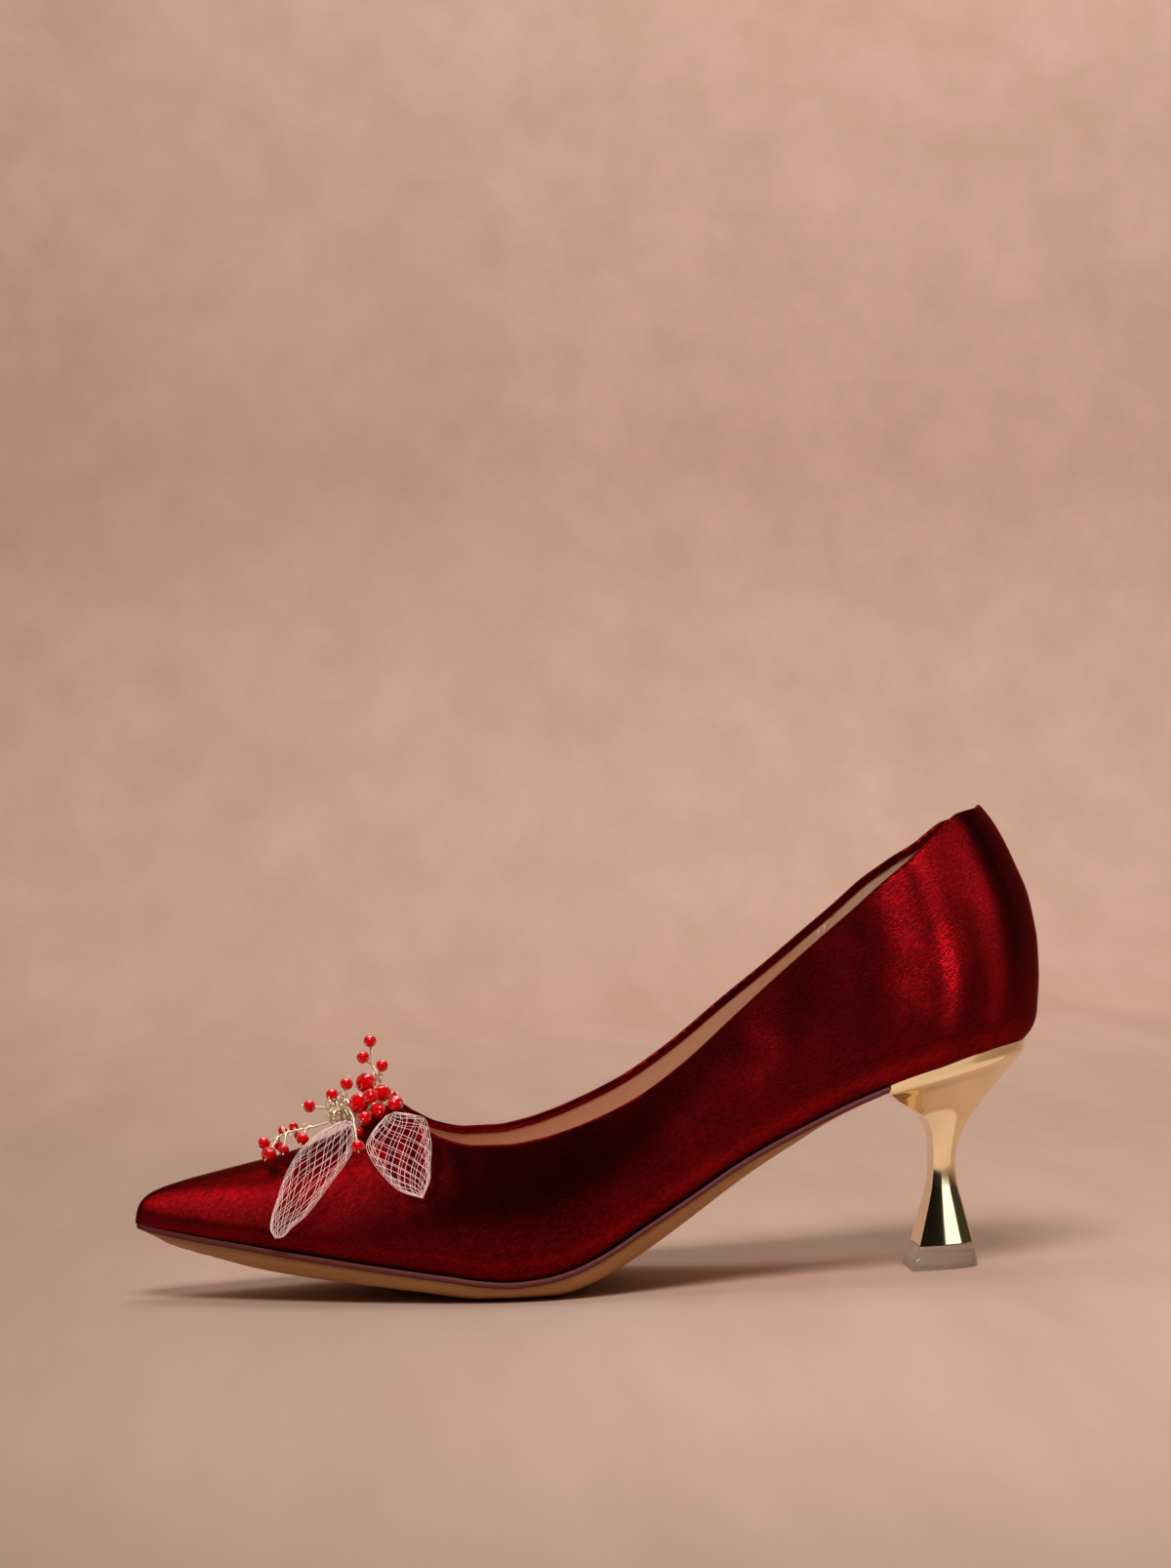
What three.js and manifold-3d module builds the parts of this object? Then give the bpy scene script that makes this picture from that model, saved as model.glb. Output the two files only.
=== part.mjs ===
// A wedding shoe: a pointed satin pump for the left foot, on a sculpted plated heel, with a spray of glass
// beads and two net leaves at the throat. Millimetres, Z up, toe towards -X, outer side towards -Y.
import * as THREE from "three";
import Module from "manifold-3d";
import { mergeVertices } from "three/addons/utils/BufferGeometryUtils.js";

const wasm = await Module();
wasm.setup();

// Driving dimensions
const SHOE_LENGTH = 245; // toe tip to the fullest point of the back
const THROAT_AT = 70; // middle of the throat, from the toe tip
const THROAT_ROUND = 30; // length over which the throat opens to the full topline
const BREAST_AT = 200; // front edge of the heel seat, where rand and outsole end
const UPPER_WALL = 1.8; // satin, stiffener and lining together
const INSOLE_THICKNESS = 1.5;
const RAND_THICKNESS = 1.2;
const GAP = 0.3; // between pieces that meet

// Shape of the upper's sections
const SIDE_FULLNESS = 2.2; // 2 is an ellipse, more is squarer
const TUCK_DEPTH = 3; // how far the wall turns in at the feather line
const TUCK_HEIGHT = 9;
const TUCK_FULL_AT = 25; // a section this high has the whole tuck
const BACK_CURVE_FROM = 185; // where the forward lean of the back begins

// How far the edge of each flat piece lies inside the last's outline: at the toe tip, and for each millimetre
// by which the feather line is tucked in
const RAND_EDGE = { atToe: 0.4, byTuck: 0.6 };
const OUTSOLE_EDGE = { atToe: 2, byTuck: 0.25 };
const INSOLE_EDGE = { atToe: 2.6, byTuck: 1 };

// The last, a row for each section. at: distance from the toe tip; half: half width at the fullest height;
// shift: the section's middle, plus is towards the inner side; feather: height of the wall's lower edge;
// top: height of the vamp's ridge as far as the throat and of the outer topline behind it; open: half width of
// the topline as a share of the half width; inner: how much higher the inner topline stands.
const LAST = [
  { at: 0, half: 0, shift: 3, feather: 21.2, top: 21.2, open: 0.95, inner: 0 },
  { at: 1, half: 2.5, shift: 2.9, feather: 20.8, top: 25.4, open: 0.95, inner: 0 },
  { at: 4, half: 5, shift: 2.8, feather: 20, top: 28.4, open: 0.95, inner: 0 },
  { at: 10, half: 8.6, shift: 2.5, feather: 18.9, top: 30.7, open: 0.95, inner: 0 },
  { at: 20, half: 13.6, shift: 2, feather: 17.2, top: 33.2, open: 0.95, inner: 0 },
  { at: 30, half: 18, shift: 1.5, feather: 15.6, top: 35.4, open: 0.95, inner: 0 },
  { at: 40, half: 22.1, shift: 1.1, feather: 13.9, top: 37.7, open: 0.95, inner: 0 },
  { at: 50, half: 26, shift: 0.8, feather: 12.4, top: 40.8, open: 0.95, inner: 0 },
  { at: 60, half: 29.5, shift: 0.6, feather: 10.8, top: 45.2, open: 0.95, inner: 0 },
  { at: 70, half: 32.5, shift: 0.5, feather: 9.3, top: 50.4, open: 0.95, inner: 0 },
  { at: 76, half: 34.1, shift: 0.4, feather: 8.4, top: 46.2, open: 0.95, inner: 0 },
  { at: 82, half: 35.4, shift: 0.3, feather: 7.5, top: 42.8, open: 0.88, inner: 0 },
  { at: 90, half: 36.6, shift: 0.1, feather: 6.2, top: 41, open: 0.8, inner: 0 },
  { at: 98, half: 37.2, shift: -0.2, feather: 5.6, top: 41, open: 0.775, inner: 0 },
  { at: 106, half: 37.1, shift: -0.6, feather: 6.3, top: 42.1, open: 0.785, inner: 0.2 },
  { at: 114, half: 36.3, shift: -0.9, feather: 8.2, top: 44.2, open: 0.8, inner: 0.5 },
  { at: 122, half: 35, shift: -1.2, feather: 11.6, top: 47, open: 0.815, inner: 0.9 },
  { at: 132, half: 32.9, shift: -1.5, feather: 17.3, top: 51.5, open: 0.825, inner: 1.2 },
  { at: 145, half: 29.8, shift: -1.8, feather: 24.8, top: 60, open: 0.83, inner: 1.3 },
  { at: 160, half: 27, shift: -1.6, feather: 33.6, top: 72.3, open: 0.82, inner: 1 },
  { at: 175, half: 25.4, shift: -1.2, feather: 40.9, top: 84.6, open: 0.79, inner: 0.3 },
  { at: 190, half: 25.2, shift: -0.7, feather: 47.5, top: 96.3, open: 0.76, inner: 0.3 },
  { at: 202, half: 25.5, shift: -0.3, feather: 51.9, top: 104, open: 0.73, inner: 0.4 },
  { at: 214, half: 25.4, shift: 0, feather: 55.3, top: 110, open: 0.69, inner: -0.2 },
  { at: 226, half: 23.2, shift: 0, feather: 58.4, top: 116.5, open: 0.66, inner: -1.9 },
  { at: 237, half: 17.3, shift: 0, feather: 60.4, top: 122.8, open: 0.64, inner: -2.2 },
  { at: 245, half: 0, shift: 0, feather: 61.5, top: 124.6, open: 0.62, inner: 0 },
];

// The back seam, a row for each height. rise: share of the way from feather line to topline; lean: how far the
// seam stands back of (plus) or forward of (minus) its fullest point.
const BACK_SEAM = [
  { rise: 0, lean: -1.5 },
  { rise: 0.14, lean: -0.7 },
  { rise: 0.28, lean: 0 },
  { rise: 0.4, lean: -0.1 },
  { rise: 0.52, lean: -1.1 },
  { rise: 0.62, lean: -2.4 },
  { rise: 0.73, lean: -5.1 },
  { rise: 0.85, lean: -8.4 },
  { rise: 0.94, lean: -11.6 },
  { rise: 1, lean: -14.6 },
];

// The outsole, a row for each section. low: height of its underside; flat: half width of the level underside as
// a share of the half width at its top edge, the rest being the rounded hull side.
const OUTSOLE = [
  { at: 0, low: 19.2, flat: 0.3 },
  { at: 3, low: 17.4, flat: 0.35 },
  { at: 8, low: 14.9, flat: 0.4 },
  { at: 14, low: 13.0, flat: 0.45 },
  { at: 22, low: 10.9, flat: 0.5 },
  { at: 31, low: 8.6, flat: 0.55 },
  { at: 45, low: 6.1, flat: 0.58 },
  { at: 60, low: 4.0, flat: 0.6 },
  { at: 75, low: 2.0, flat: 0.62 },
  { at: 90, low: 0, flat: 0.63 },
  { at: 110, low: 0, flat: 0.6 },
  { at: 118, low: 1.8, flat: 0.55 },
  { at: 127, low: 5.6, flat: 0.48 },
  { at: 138, low: 11.9, flat: 0.42 },
  { at: 150, low: 19.8, flat: 0.38 },
  { at: 162, low: 28.0, flat: 0.35 },
  { at: 174, low: 35.4, flat: 0.35 },
  { at: 186, low: 42.9, flat: 0.35 },
  { at: 198, low: 48.7, flat: 0.35 },
];
const TREAD_FROM = 90; // front end of the level tread
const OUTSOLE_END = 198;
const HULL_STEPS = 4; // facets round each hull side

// The heel, a row for each ring from seat to base. frontAt, frontUp: breast; backAt, backUp: back; half: half
// width of the breast; round: how square the ring is towards the back, more is squarer.
const HEEL = [
  { frontAt: 200.4, frontUp: 51, backAt: 240.4, backUp: 60.4, half: 22.4, round: 3.2 },
  { frontAt: 200.3, frontUp: 49.4, backAt: 240.3, backUp: 58.7, half: 22.2, round: 3.2 },
  { frontAt: 203, frontUp: 46.7, backAt: 236.8, backUp: 53.9, half: 17.4, round: 2.7 },
  { frontAt: 206.6, frontUp: 44.4, backAt: 232.8, backUp: 49.4, half: 13.3, round: 2.4 },
  { frontAt: 210.2, frontUp: 42.1, backAt: 228.9, backUp: 44.9, half: 10, round: 2.2 },
  { frontAt: 212.6, frontUp: 39.4, backAt: 225.6, backUp: 40.7, half: 7.7, round: 2.1 },
  { frontAt: 213.7, frontUp: 36, backAt: 222.9, backUp: 36.4, half: 6.1, round: 2 },
  { frontAt: 214, frontUp: 32, backAt: 221.2, backUp: 32, half: 5.2, round: 2 },
  { frontAt: 213.9, frontUp: 27.6, backAt: 220.6, backUp: 27.6, half: 4.9, round: 2 },
  { frontAt: 213.2, frontUp: 22, backAt: 221.1, backUp: 22, half: 5.2, round: 2 },
  { frontAt: 211.8, frontUp: 16.4, backAt: 222.4, backUp: 16.4, half: 6, round: 2 },
  { frontAt: 210.4, frontUp: 11.4, backAt: 223.6, backUp: 11.4, half: 6.9, round: 2 },
  { frontAt: 209, frontUp: 6.65, backAt: 224.8, backUp: 6.65, half: 7.7, round: 2 },
];
const SEAT_BACK_AT = 240.4; // where the feather line ends at the back, past its tuck
const HEEL_STEPS = 10; // facets along each side of a ring

// The top piece, in two moulded layers with a small step between them
const TOP_PIECE = [
  { frontAt: 208.9, frontUp: 6.35, backAt: 225.0, backUp: 6.35, half: 7.8, round: 2.2 },
  { frontAt: 208.0, frontUp: 3.2, backAt: 225.2, backUp: 3.2, half: 8.2, round: 2.2 },
  { frontAt: 207.6, frontUp: 3.0, backAt: 225.6, backUp: 3.0, half: 8.6, round: 2.3 },
  { frontAt: 206.6, frontUp: 0, backAt: 225.6, backUp: 0, half: 8.8, round: 2.3 },
];

// The leaves, a row for each section of the spine from base to tip. at, across, up: place of the spine; half:
// half width; face: how far the leaf's outer side turns up from the level, in degrees.
const LEAVES = {
  leaf_toe: [
    { at: 56.5, across: -9.6, up: 46.2, half: 2, face: 65 },
    { at: 55, across: -12.2, up: 43.6, half: 6, face: 62 },
    { at: 51.2, across: -15.9, up: 38.2, half: 8.4, face: 56 },
    { at: 47.4, across: -18.9, up: 33.6, half: 7.3, face: 44 },
    { at: 42.5, across: -21.4, up: 26.4, half: 5.1, face: 26 },
    { at: 39.5, across: -21.7, up: 22.4, half: 3.3, face: 14 },
    { at: 38, across: -21.5, up: 19.3, half: 2, face: 6 },
    { at: 37.4, across: -21.3, up: 18, half: 0, face: 3 },
  ],
  leaf_throat: [
    { at: 68.7, across: -14.8, up: 48.2, half: 1.5, face: 68 },
    { at: 69.2, across: -18.4, up: 46, half: 5.6, face: 62 },
    { at: 70.1, across: -22.4, up: 43, half: 8.6, face: 54 },
    { at: 71.5, across: -26.5, up: 39, half: 8, face: 43 },
    { at: 72.9, across: -29.4, up: 34.8, half: 6.2, face: 33 },
    { at: 74.5, across: -31.4, up: 31.2, half: 4, face: 27 },
    { at: 75.8, across: -32.4, up: 28, half: 0, face: 22 },
  ],
};
const LEAF_TURN = -0.36; // how far each leaf's outer side looks towards the toe
const LEAF_EDGE = 0.4; // thickness at the rim
const LEAF_PUFF = 1.2; // extra thickness in the middle, where the net stands hollow
const LEAF_CUP = 0.1; // how far the rim stands off, for each millimetre of half width

// The wire spray: places where its wires meet, and the stems that join them through places of their own
const WIRE_RADIUS = 0.5;
const WIRE_SIDES = 6;
const KNOTS = {
  foot: [64.5, -4.5, 47.7],
  root: [64.5, -4.5, 49.8],
  crown: [65.7, -4, 57.6],
  fork: [64.3, -4.4, 60.6],
  low: [63.4, -8.2, 47.7],
  pass: [59.5, -6.3, 47.5],
  tangle: [55.2, -5.5, 49.5],
  drop: [58.8, -16.6, 48.4],
  twigA: [46.5, -4.7, 44.8],
  twigB: [43.5, -4.8, 44.3],
  twigC: [41, -5, 43.7],
  twigD: [39, -5.2, 43],
};
const STEMS = [
  ["foot", "root", [66.7, -3.2, 54], "crown", "fork"],
  ["root", "low"],
  ["root", "pass", "tangle"],
  ["tangle", [57.4, -11, 50.2], "drop"],
  ["tangle", [53.4, -5.4, 46.8], [50, -5, 45.6], "twigA", "twigB", "twigC", "twigD"],
];

// The beads: place, radius and the knot whose wire carries each of them
const BEADS = [
  { at: 63.9, across: -6, up: 67.3, radius: 1.75, on: "fork" },
  { at: 61.9, across: -6.5, up: 63.1, radius: 1.75, on: "fork" },
  { at: 66.9, across: -5.6, up: 60.6, radius: 1.7, on: "crown" },
  { at: 57.3, across: -6, up: 56.2, radius: 1.75, on: "tangle" },
  { at: 53.4, across: -6, up: 53.5, radius: 1.75, on: "tangle" },
  { at: 47.3, across: -5, up: 50.6, radius: 1.75, on: "tangle" },
  { at: 69.4, across: -3, up: 52.3, radius: 1.4, on: "root" },
  { at: 70, across: -12.6, up: 51, radius: 2.2, on: "root" },
  { at: 65.4, across: -11.8, up: 49.2, radius: 2.15, on: "root" },
  { at: 61.8, across: -14.2, up: 47.6, radius: 1.95, on: "low" },
  { at: 58.9, across: -2.3, up: 49.6, radius: 1.8, on: "pass" },
  { at: 62.5, across: -3.3, up: 56, radius: 2.9, on: "root" },
  { at: 60.4, across: -8.8, up: 51.1, radius: 2.85, on: "low" },
  { at: 66.7, across: -8, up: 53.6, radius: 2.4, on: "root" },
  { at: 60.2, across: -13.6, up: 44.2, radius: 1.2, on: "drop" },
  { at: 59.6, across: -23.4, up: 41.2, radius: 1.8, on: "drop" },
  { at: 35, across: -5, up: 41.3, radius: 1.7, on: "twigD" },
  { at: 36.2, across: -9.2, up: 38.8, radius: 2.1, on: "twigD" },
  { at: 38.8, across: -3.8, up: 40.4, radius: 1.3, on: "twigD" },
  { at: 40.2, across: -8.3, up: 39.7, radius: 1.4, on: "twigC" },
  { at: 45.2, across: -7.4, up: 42.2, radius: 1.7, on: "twigA" },
  { at: 43.9, across: -2.6, up: 42.8, radius: 1.05, on: "twigB" },
  { at: 42.9, across: -1.2, up: 44.9, radius: 1.3, on: "twigB" },
  { at: 40, across: -1.2, up: 44, radius: 1.3, on: "twigC" },
  { at: 63.5, across: -12.3, up: 53.2, radius: 2.05, on: "low" },
];

// Finishes
const SATIN = new THREE.MeshStandardMaterial({ color: 0x6a0d12, roughness: 0.45, metalness: 0 });
const INSOLE_SOCK = new THREE.MeshStandardMaterial({ color: 0xb98a66, roughness: 0.6, metalness: 0 });
const EDGE_PAINT = new THREE.MeshStandardMaterial({ color: 0x5a2a30, roughness: 0.5, metalness: 0 });
const TAN_SOLE = new THREE.MeshStandardMaterial({ color: 0x9a6a3c, roughness: 0.6, metalness: 0 });
const GOLD_PLATE = new THREE.MeshStandardMaterial({ color: 0xd8b882, roughness: 0.08, metalness: 1 });
const CRIN_NET = new THREE.MeshStandardMaterial({ color: 0xe6b3ad, roughness: 0.5, metalness: 0 });
const GOLD_WIRE = new THREE.MeshStandardMaterial({ color: 0xd9b98a, roughness: 0.2, metalness: 1 });
const RED_GLASS = new THREE.MeshStandardMaterial({ color: 0xc0101a, roughness: 0.1, metalness: 0 });
const CLEAR_LIFT = new THREE.MeshStandardMaterial({ color: 0xd9c8ba, roughness: 0.2, metalness: 0 });

// Places along the shoe are spread by angle round a half circle, so that widths which begin and end round
// keep their roundness between the table's rows.
const angleAt = (at) => Math.acos(1 - (2 * at) / SHOE_LENGTH);
const placeAt = (angle) => ((1 - Math.cos(angle)) * SHOE_LENGTH) / 2;

// A smooth curve through points whose places rise, with no overshoot between them.
function smoothCurve(places, values) {
  const widths = places.slice(1).map((place, k) => place - places[k]);
  const slopes = widths.map((width, k) => (values[k + 1] - values[k]) / width);
  const tangents = values.map((_, k) => {
    if (k === 0) return slopes[0];
    if (k === slopes.length) return slopes[k - 1];
    if (slopes[k - 1] * slopes[k] <= 0) return 0;
    const before = 2 * widths[k] + widths[k - 1];
    const after = widths[k] + 2 * widths[k - 1];
    return (before + after) / (before / slopes[k - 1] + after / slopes[k]);
  });
  return (place) => {
    let k = 0;
    while (k < widths.length - 1 && place > places[k + 1]) k += 1;
    const t = Math.min(Math.max((place - places[k]) / widths[k], 0), 1);
    const lift = (values[k + 1] - values[k]) * t * t * (3 - 2 * t);
    const start = tangents[k] * widths[k] * t * (1 - t) * (1 - t);
    const end = tangents[k + 1] * widths[k] * t * t * (t - 1);
    return values[k] + lift + start + end;
  };
}

// One column of a table with rows along the shoe, as a function of the place.
function along(table, key) {
  const curve = smoothCurve(
    table.map((row) => angleAt(row.at)),
    table.map((row) => row[key]),
  );
  return (at) => curve(angleAt(at));
}

const halfWidth = along(LAST, "half");
const middle = along(LAST, "shift");
const featherUp = along(LAST, "feather");
const topUp = along(LAST, "top");
const openShare = along(LAST, "open");
const innerRise = along(LAST, "inner");
const soleLow = along(OUTSOLE, "low");
const soleFlat = along(OUTSOLE, "flat");
const backLean = smoothCurve(
  BACK_SEAM.map((row) => row.rise),
  BACK_SEAM.map((row) => row.lean),
);

// The unit direction that points into the shoe, in plan, from the last's outline.
function inwardFrom(at, side) {
  const angle = angleAt(at);
  const step = 0.002;
  if (angle < step) return [1, 0];
  if (angle > Math.PI - step) return [-1, 0];
  const [before, after] = [placeAt(angle - step), placeAt(angle + step)];
  const run = after - before;
  const spread = middle(after) - middle(before) + side * (halfWidth(after) - halfWidth(before));
  const size = Math.hypot(run, spread);
  return [(side * spread) / size, (-side * run) / size];
}

// The forward lean of the back at a place, for a share of the height from feather line to topline.
function leanAt(at, rise) {
  return backLean(rise) * THREE.MathUtils.smoothstep(at, BACK_CURVE_FROM, SHOE_LENGTH);
}

// How far the feather line is tucked in: low sections near the toe tip have less of it.
function tuckAt(at) {
  return TUCK_DEPTH * Math.min((topUp(at) - featherUp(at)) / TUCK_FULL_AT, 1);
}

// A point on the edge of a flat piece in plan, inside the last's outline.
function edgePoint(at, side, edge) {
  const [inX, inY] = inwardFrom(at, side);
  const inset = edge.atToe + edge.byTuck * tuckAt(at);
  return [at + leanAt(at, 0) + inX * inset, middle(at) + side * halfWidth(at) + inY * inset];
}

// How far the throat has opened at a place: 0 on the vamp, 1 where the topline has its full width.
function throatOpening(at) {
  const share = THREE.MathUtils.clamp((at - THROAT_AT) / THROAT_ROUND, 0, 1);
  return Math.sqrt(share * (2 - share));
}

// A point of the upper's outer face: rise goes from 0 at the feather line to 1 at the top edge.
function wallPoint(at, side, rise) {
  const base = featherUp(at);
  const height = topUp(at) + (side > 0 ? innerRise(at) : 0) - base;
  const open = openShare(at) * throatOpening(at);
  const turn = Math.acos(Math.pow(open, SIDE_FULLNESS / 2));
  const up = (height * Math.sin(turn * rise)) / Math.sin(turn);
  const out = halfWidth(at) * Math.pow(Math.cos(turn * rise), 2 / SIDE_FULLNESS);
  const tuck = tuckAt(at) * Math.pow(Math.max(1 - up / TUCK_HEIGHT, 0), 3);
  const [inX, inY] = inwardFrom(at, side);
  const lean = leanAt(at, height > 0 ? up / height : 0);
  return new THREE.Vector3(at + inX * tuck + lean, middle(at) + side * out + inY * tuck, base + up);
}

// Corner points and triangles of one closed body.
class Body {
  constructor() {
    this.points = [];
    this.corners = [];
  }
  point(x, y, z) {
    this.points.push(new THREE.Vector3(x, y, z));
    return this.points.length - 1;
  }
  triangle(a, b, c) {
    if (a !== b && b !== c && c !== a) this.corners.push(a, b, c);
  }
  quad(a, b, c, d) {
    this.triangle(a, b, c);
    this.triangle(a, c, d);
  }
  // The finished geometry, with its faces turned out.
  geometry() {
    let volume = 0;
    for (let k = 0; k < this.corners.length; k += 3) {
      const [a, b, c] = this.corners.slice(k, k + 3).map((corner) => this.points[corner]);
      volume += a.dot(new THREE.Vector3().crossVectors(b, c));
    }
    if (volume < 0) this.corners.reverse();
    return new THREE.BufferGeometry().setFromPoints(this.points).setIndex(this.corners);
  }
}

// A closed body through rings of equal length, each a list of [x, y, z]. The first and last ring are closed by
// strips from one half of the ring to the other, and a ring whose points all agree closes to a tip by itself.
function loft(rings) {
  const body = new Body();
  const count = rings[0].length;
  const made = rings.map((ring) => {
    const tip = ring.every((p) => p.every((value, axis) => value === ring[0][axis]));
    if (tip) return new Array(count).fill(body.point(...ring[0]));
    return ring.map((p) => body.point(...p));
  });
  for (let k = 0; k + 1 < made.length; k += 1) {
    for (let j = 0; j < count; j += 1) {
      const next = (j + 1) % count;
      body.quad(made[k][j], made[k][next], made[k + 1][next], made[k + 1][j]);
    }
  }
  const close = (ring, turned) => {
    for (let j = 0; j < count / 2 - 1; j += 1) {
      const strip = [ring[j], ring[j + 1], ring[count - 2 - j], ring[count - 1 - j]];
      if (turned) strip.reverse();
      body.quad(...strip);
    }
  };
  close(made[0], true);
  close(made[made.length - 1], false);
  return body.geometry();
}

// Places from one end to another, close together at the ends that are round.
function places(from, to, count, roundStart, roundEnd) {
  const spread = (t) => {
    if (roundStart && roundEnd) return (1 - Math.cos(Math.PI * t)) / 2;
    if (roundStart) return 1 - Math.cos((Math.PI / 2) * t);
    if (roundEnd) return Math.sin((Math.PI / 2) * t);
    return t;
  };
  return Array.from({ length: count + 1 }, (_, k) => from + (to - from) * spread(k / count));
}

// The upper: an outer face worked out from the last, an inner face one wall thickness inside it, and the two
// edges that join them, round the topline and along the feather line.
function upperGeometry() {
  const vampSteps = 15;
  const quarterSteps = 28;
  const rises = Array.from({ length: 11 }, (_, j) => Math.pow(j / 10, 1.4));
  const stations = places(0, THROAT_AT, vampSteps, true, false);
  stations.push(...places(THROAT_AT, SHOE_LENGTH, quarterSteps, true, true).slice(1));
  const last = stations.length - 1;
  const top = rises.length - 1;
  const body = new Body();
  const grid = { "-1": [], 1: [] };
  for (const side of [-1, 1]) {
    stations.forEach((at, i) => {
      grid[side][i] = rises.map((rise, j) => {
        const onSeam = i === last || (i <= vampSteps && j === top);
        if (i === 0 && (j > 0 || side > 0)) return grid[-1][0] ? grid[-1][0][0] : 0;
        if (side > 0 && onSeam) return grid[-1][i][j];
        const p = wallPoint(at, side, rise);
        return body.point(p.x, onSeam ? middle(at) : p.y, p.z);
      });
    });
  }
  const faces = (layer, turned) => {
    for (const side of [-1, 1]) {
      for (let i = 0; i < last; i += 1) {
        for (let j = 0; j < top; j += 1) {
          const rows = grid[side];
          const patch = [rows[i][j], rows[i + 1][j], rows[i + 1][j + 1], rows[i][j + 1]].map(layer);
          if (side > 0 !== turned) patch.reverse();
          body.quad(...patch);
        }
      }
    }
  };
  faces((corner) => corner, false);
  const outer = new THREE.BufferGeometry().setFromPoints(body.points).setIndex(body.corners);
  outer.computeVertexNormals();
  const normals = outer.getAttribute("normal");
  const outerCount = body.points.length;
  for (let k = 0; k < outerCount; k += 1) {
    const normal = new THREE.Vector3().fromBufferAttribute(normals, k);
    const p = body.points[k].clone().addScaledVector(normal, -UPPER_WALL);
    body.point(p.x, p.y, p.z);
  }
  const inner = (corner) => corner + outerCount;
  faces(inner, true);
  for (const side of [-1, 1]) {
    for (let i = 0; i < last; i += 1) {
      const edges = [[0, side > 0]];
      if (i >= vampSteps) edges.push([top, side < 0]);
      for (const [j, turned] of edges) {
        const [a, b] = [grid[side][i][j], grid[side][i + 1][j]];
        const strip = [a, inner(a), inner(b), b];
        if (turned) strip.reverse();
        body.quad(...strip);
      }
    }
  }
  return body.geometry();
}

// The height of the feather line read at its own place in plan: behind the breast it is tucked forward.
function seamUp(at) {
  const stretch = (SHOE_LENGTH - BREAST_AT) / (SEAT_BACK_AT - BREAST_AT);
  return featherUp(at < BREAST_AT ? at : Math.min(BREAST_AT + (at - BREAST_AT) * stretch, SHOE_LENGTH));
}

const randTop = (at) => seamUp(at) - GAP;
const randBottom = (at) => randTop(at) - RAND_THICKNESS;
const outsoleTop = (at) => randBottom(at) - GAP;
const seatUp = (at) => seamUp(at) - GAP;

// A flat piece that follows the feather line, with its edge inside the last's outline.
function plateGeometry(stations, edge, bottomUp, thickness) {
  const rings = stations.map((at) => {
    const [outerX, outerY] = edgePoint(at, -1, edge);
    const [innerX, innerY] = edgePoint(at, 1, edge);
    return [
      [outerX, outerY, bottomUp(outerX)],
      [outerX, outerY, bottomUp(outerX) + thickness],
      [innerX, innerY, bottomUp(innerX) + thickness],
      [innerX, innerY, bottomUp(innerX)],
    ];
  });
  return loft(rings);
}

// Sections of rand and outsole, from the toe tip over the level tread to the waist
function soleStations(end) {
  const forepart = places(0, TREAD_FROM, 14, true, false);
  return [...forepart, ...places(TREAD_FROM, end, 22, false, false).slice(1)];
}

function insoleGeometry() {
  return plateGeometry(places(0, SHOE_LENGTH, 34, true, true), INSOLE_EDGE, seamUp, INSOLE_THICKNESS);
}

function randGeometry() {
  return plateGeometry(soleStations(BREAST_AT), RAND_EDGE, randBottom, RAND_THICKNESS);
}

// The outsole: a level top under the rand, a level underside and a rounded hull side between them.
function outsoleGeometry() {
  const rings = soleStations(OUTSOLE_END).map((at) => {
    const ring = [];
    for (const side of [-1, 1]) {
      const [x, y] = edgePoint(at, side, OUTSOLE_EDGE);
      const centre = (edgePoint(at, -1, OUTSOLE_EDGE)[1] + edgePoint(at, 1, OUTSOLE_EDGE)[1]) / 2;
      const flat = (y - centre) * soleFlat(at);
      const high = outsoleTop(x);
      const low = Math.min(soleLow(at), high);
      const half = Array.from({ length: HULL_STEPS + 1 }, (_, k) => {
        const turn = ((Math.PI / 2) * k) / HULL_STEPS;
        const across = centre + flat + (y - centre - flat) * Math.cos(turn);
        return [x, across, high - (high - low) * Math.sin(turn)];
      });
      ring.push(...(side < 0 ? half : half.reverse()));
    }
    return at === 0 ? ring.map(() => ring[0]) : ring;
  });
  return loft(rings);
}

// A ring of the heel or the top piece: a level breast at the front, rounded sides that close at the back.
function heelRing({ frontAt, frontUp, backAt, backUp, half, round }, upAt) {
  const side = (sign) =>
    Array.from({ length: HEEL_STEPS }, (_, k) => {
      const share = Math.sin(((Math.PI / 2) * k) / HEEL_STEPS);
      const at = frontAt + (backAt - frontAt) * share;
      const up = upAt ? upAt(at) : frontUp + (backUp - frontUp) * share;
      return [at, sign * half * Math.sqrt(1 - Math.pow(share, round)), up];
    });
  const back = [backAt, 0, upAt ? upAt(backAt) : backUp];
  return [...side(-1), back, ...side(1).reverse()];
}

// A closed body through rings that each run from the breast round the back.
function heelLoft(rings) {
  const body = new Body();
  const made = rings.map((ring) => ring.map((p) => body.point(...p)));
  const count = rings[0].length;
  for (let k = 0; k + 1 < made.length; k += 1) {
    for (let j = 0; j < count; j += 1) {
      const next = (j + 1) % count;
      body.quad(made[k][j], made[k][next], made[k + 1][next], made[k + 1][j]);
    }
  }
  const close = (ring, turned) => {
    for (let j = 0; j < (count - 1) / 2; j += 1) {
      const strip = [ring[j], ring[j + 1], ring[count - 2 - j], ring[count - 1 - j]];
      if (turned) strip.reverse();
      body.quad(...strip);
    }
  };
  close(made[0], true);
  close(made[made.length - 1], false);
  return body.geometry();
}

const heelGeometry = () => heelLoft(HEEL.map((row, k) => heelRing(row, k === 0 ? seatUp : null)));
const topPieceGeometry = () => heelLoft(TOP_PIECE.map((row) => heelRing(row, null)));

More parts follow.
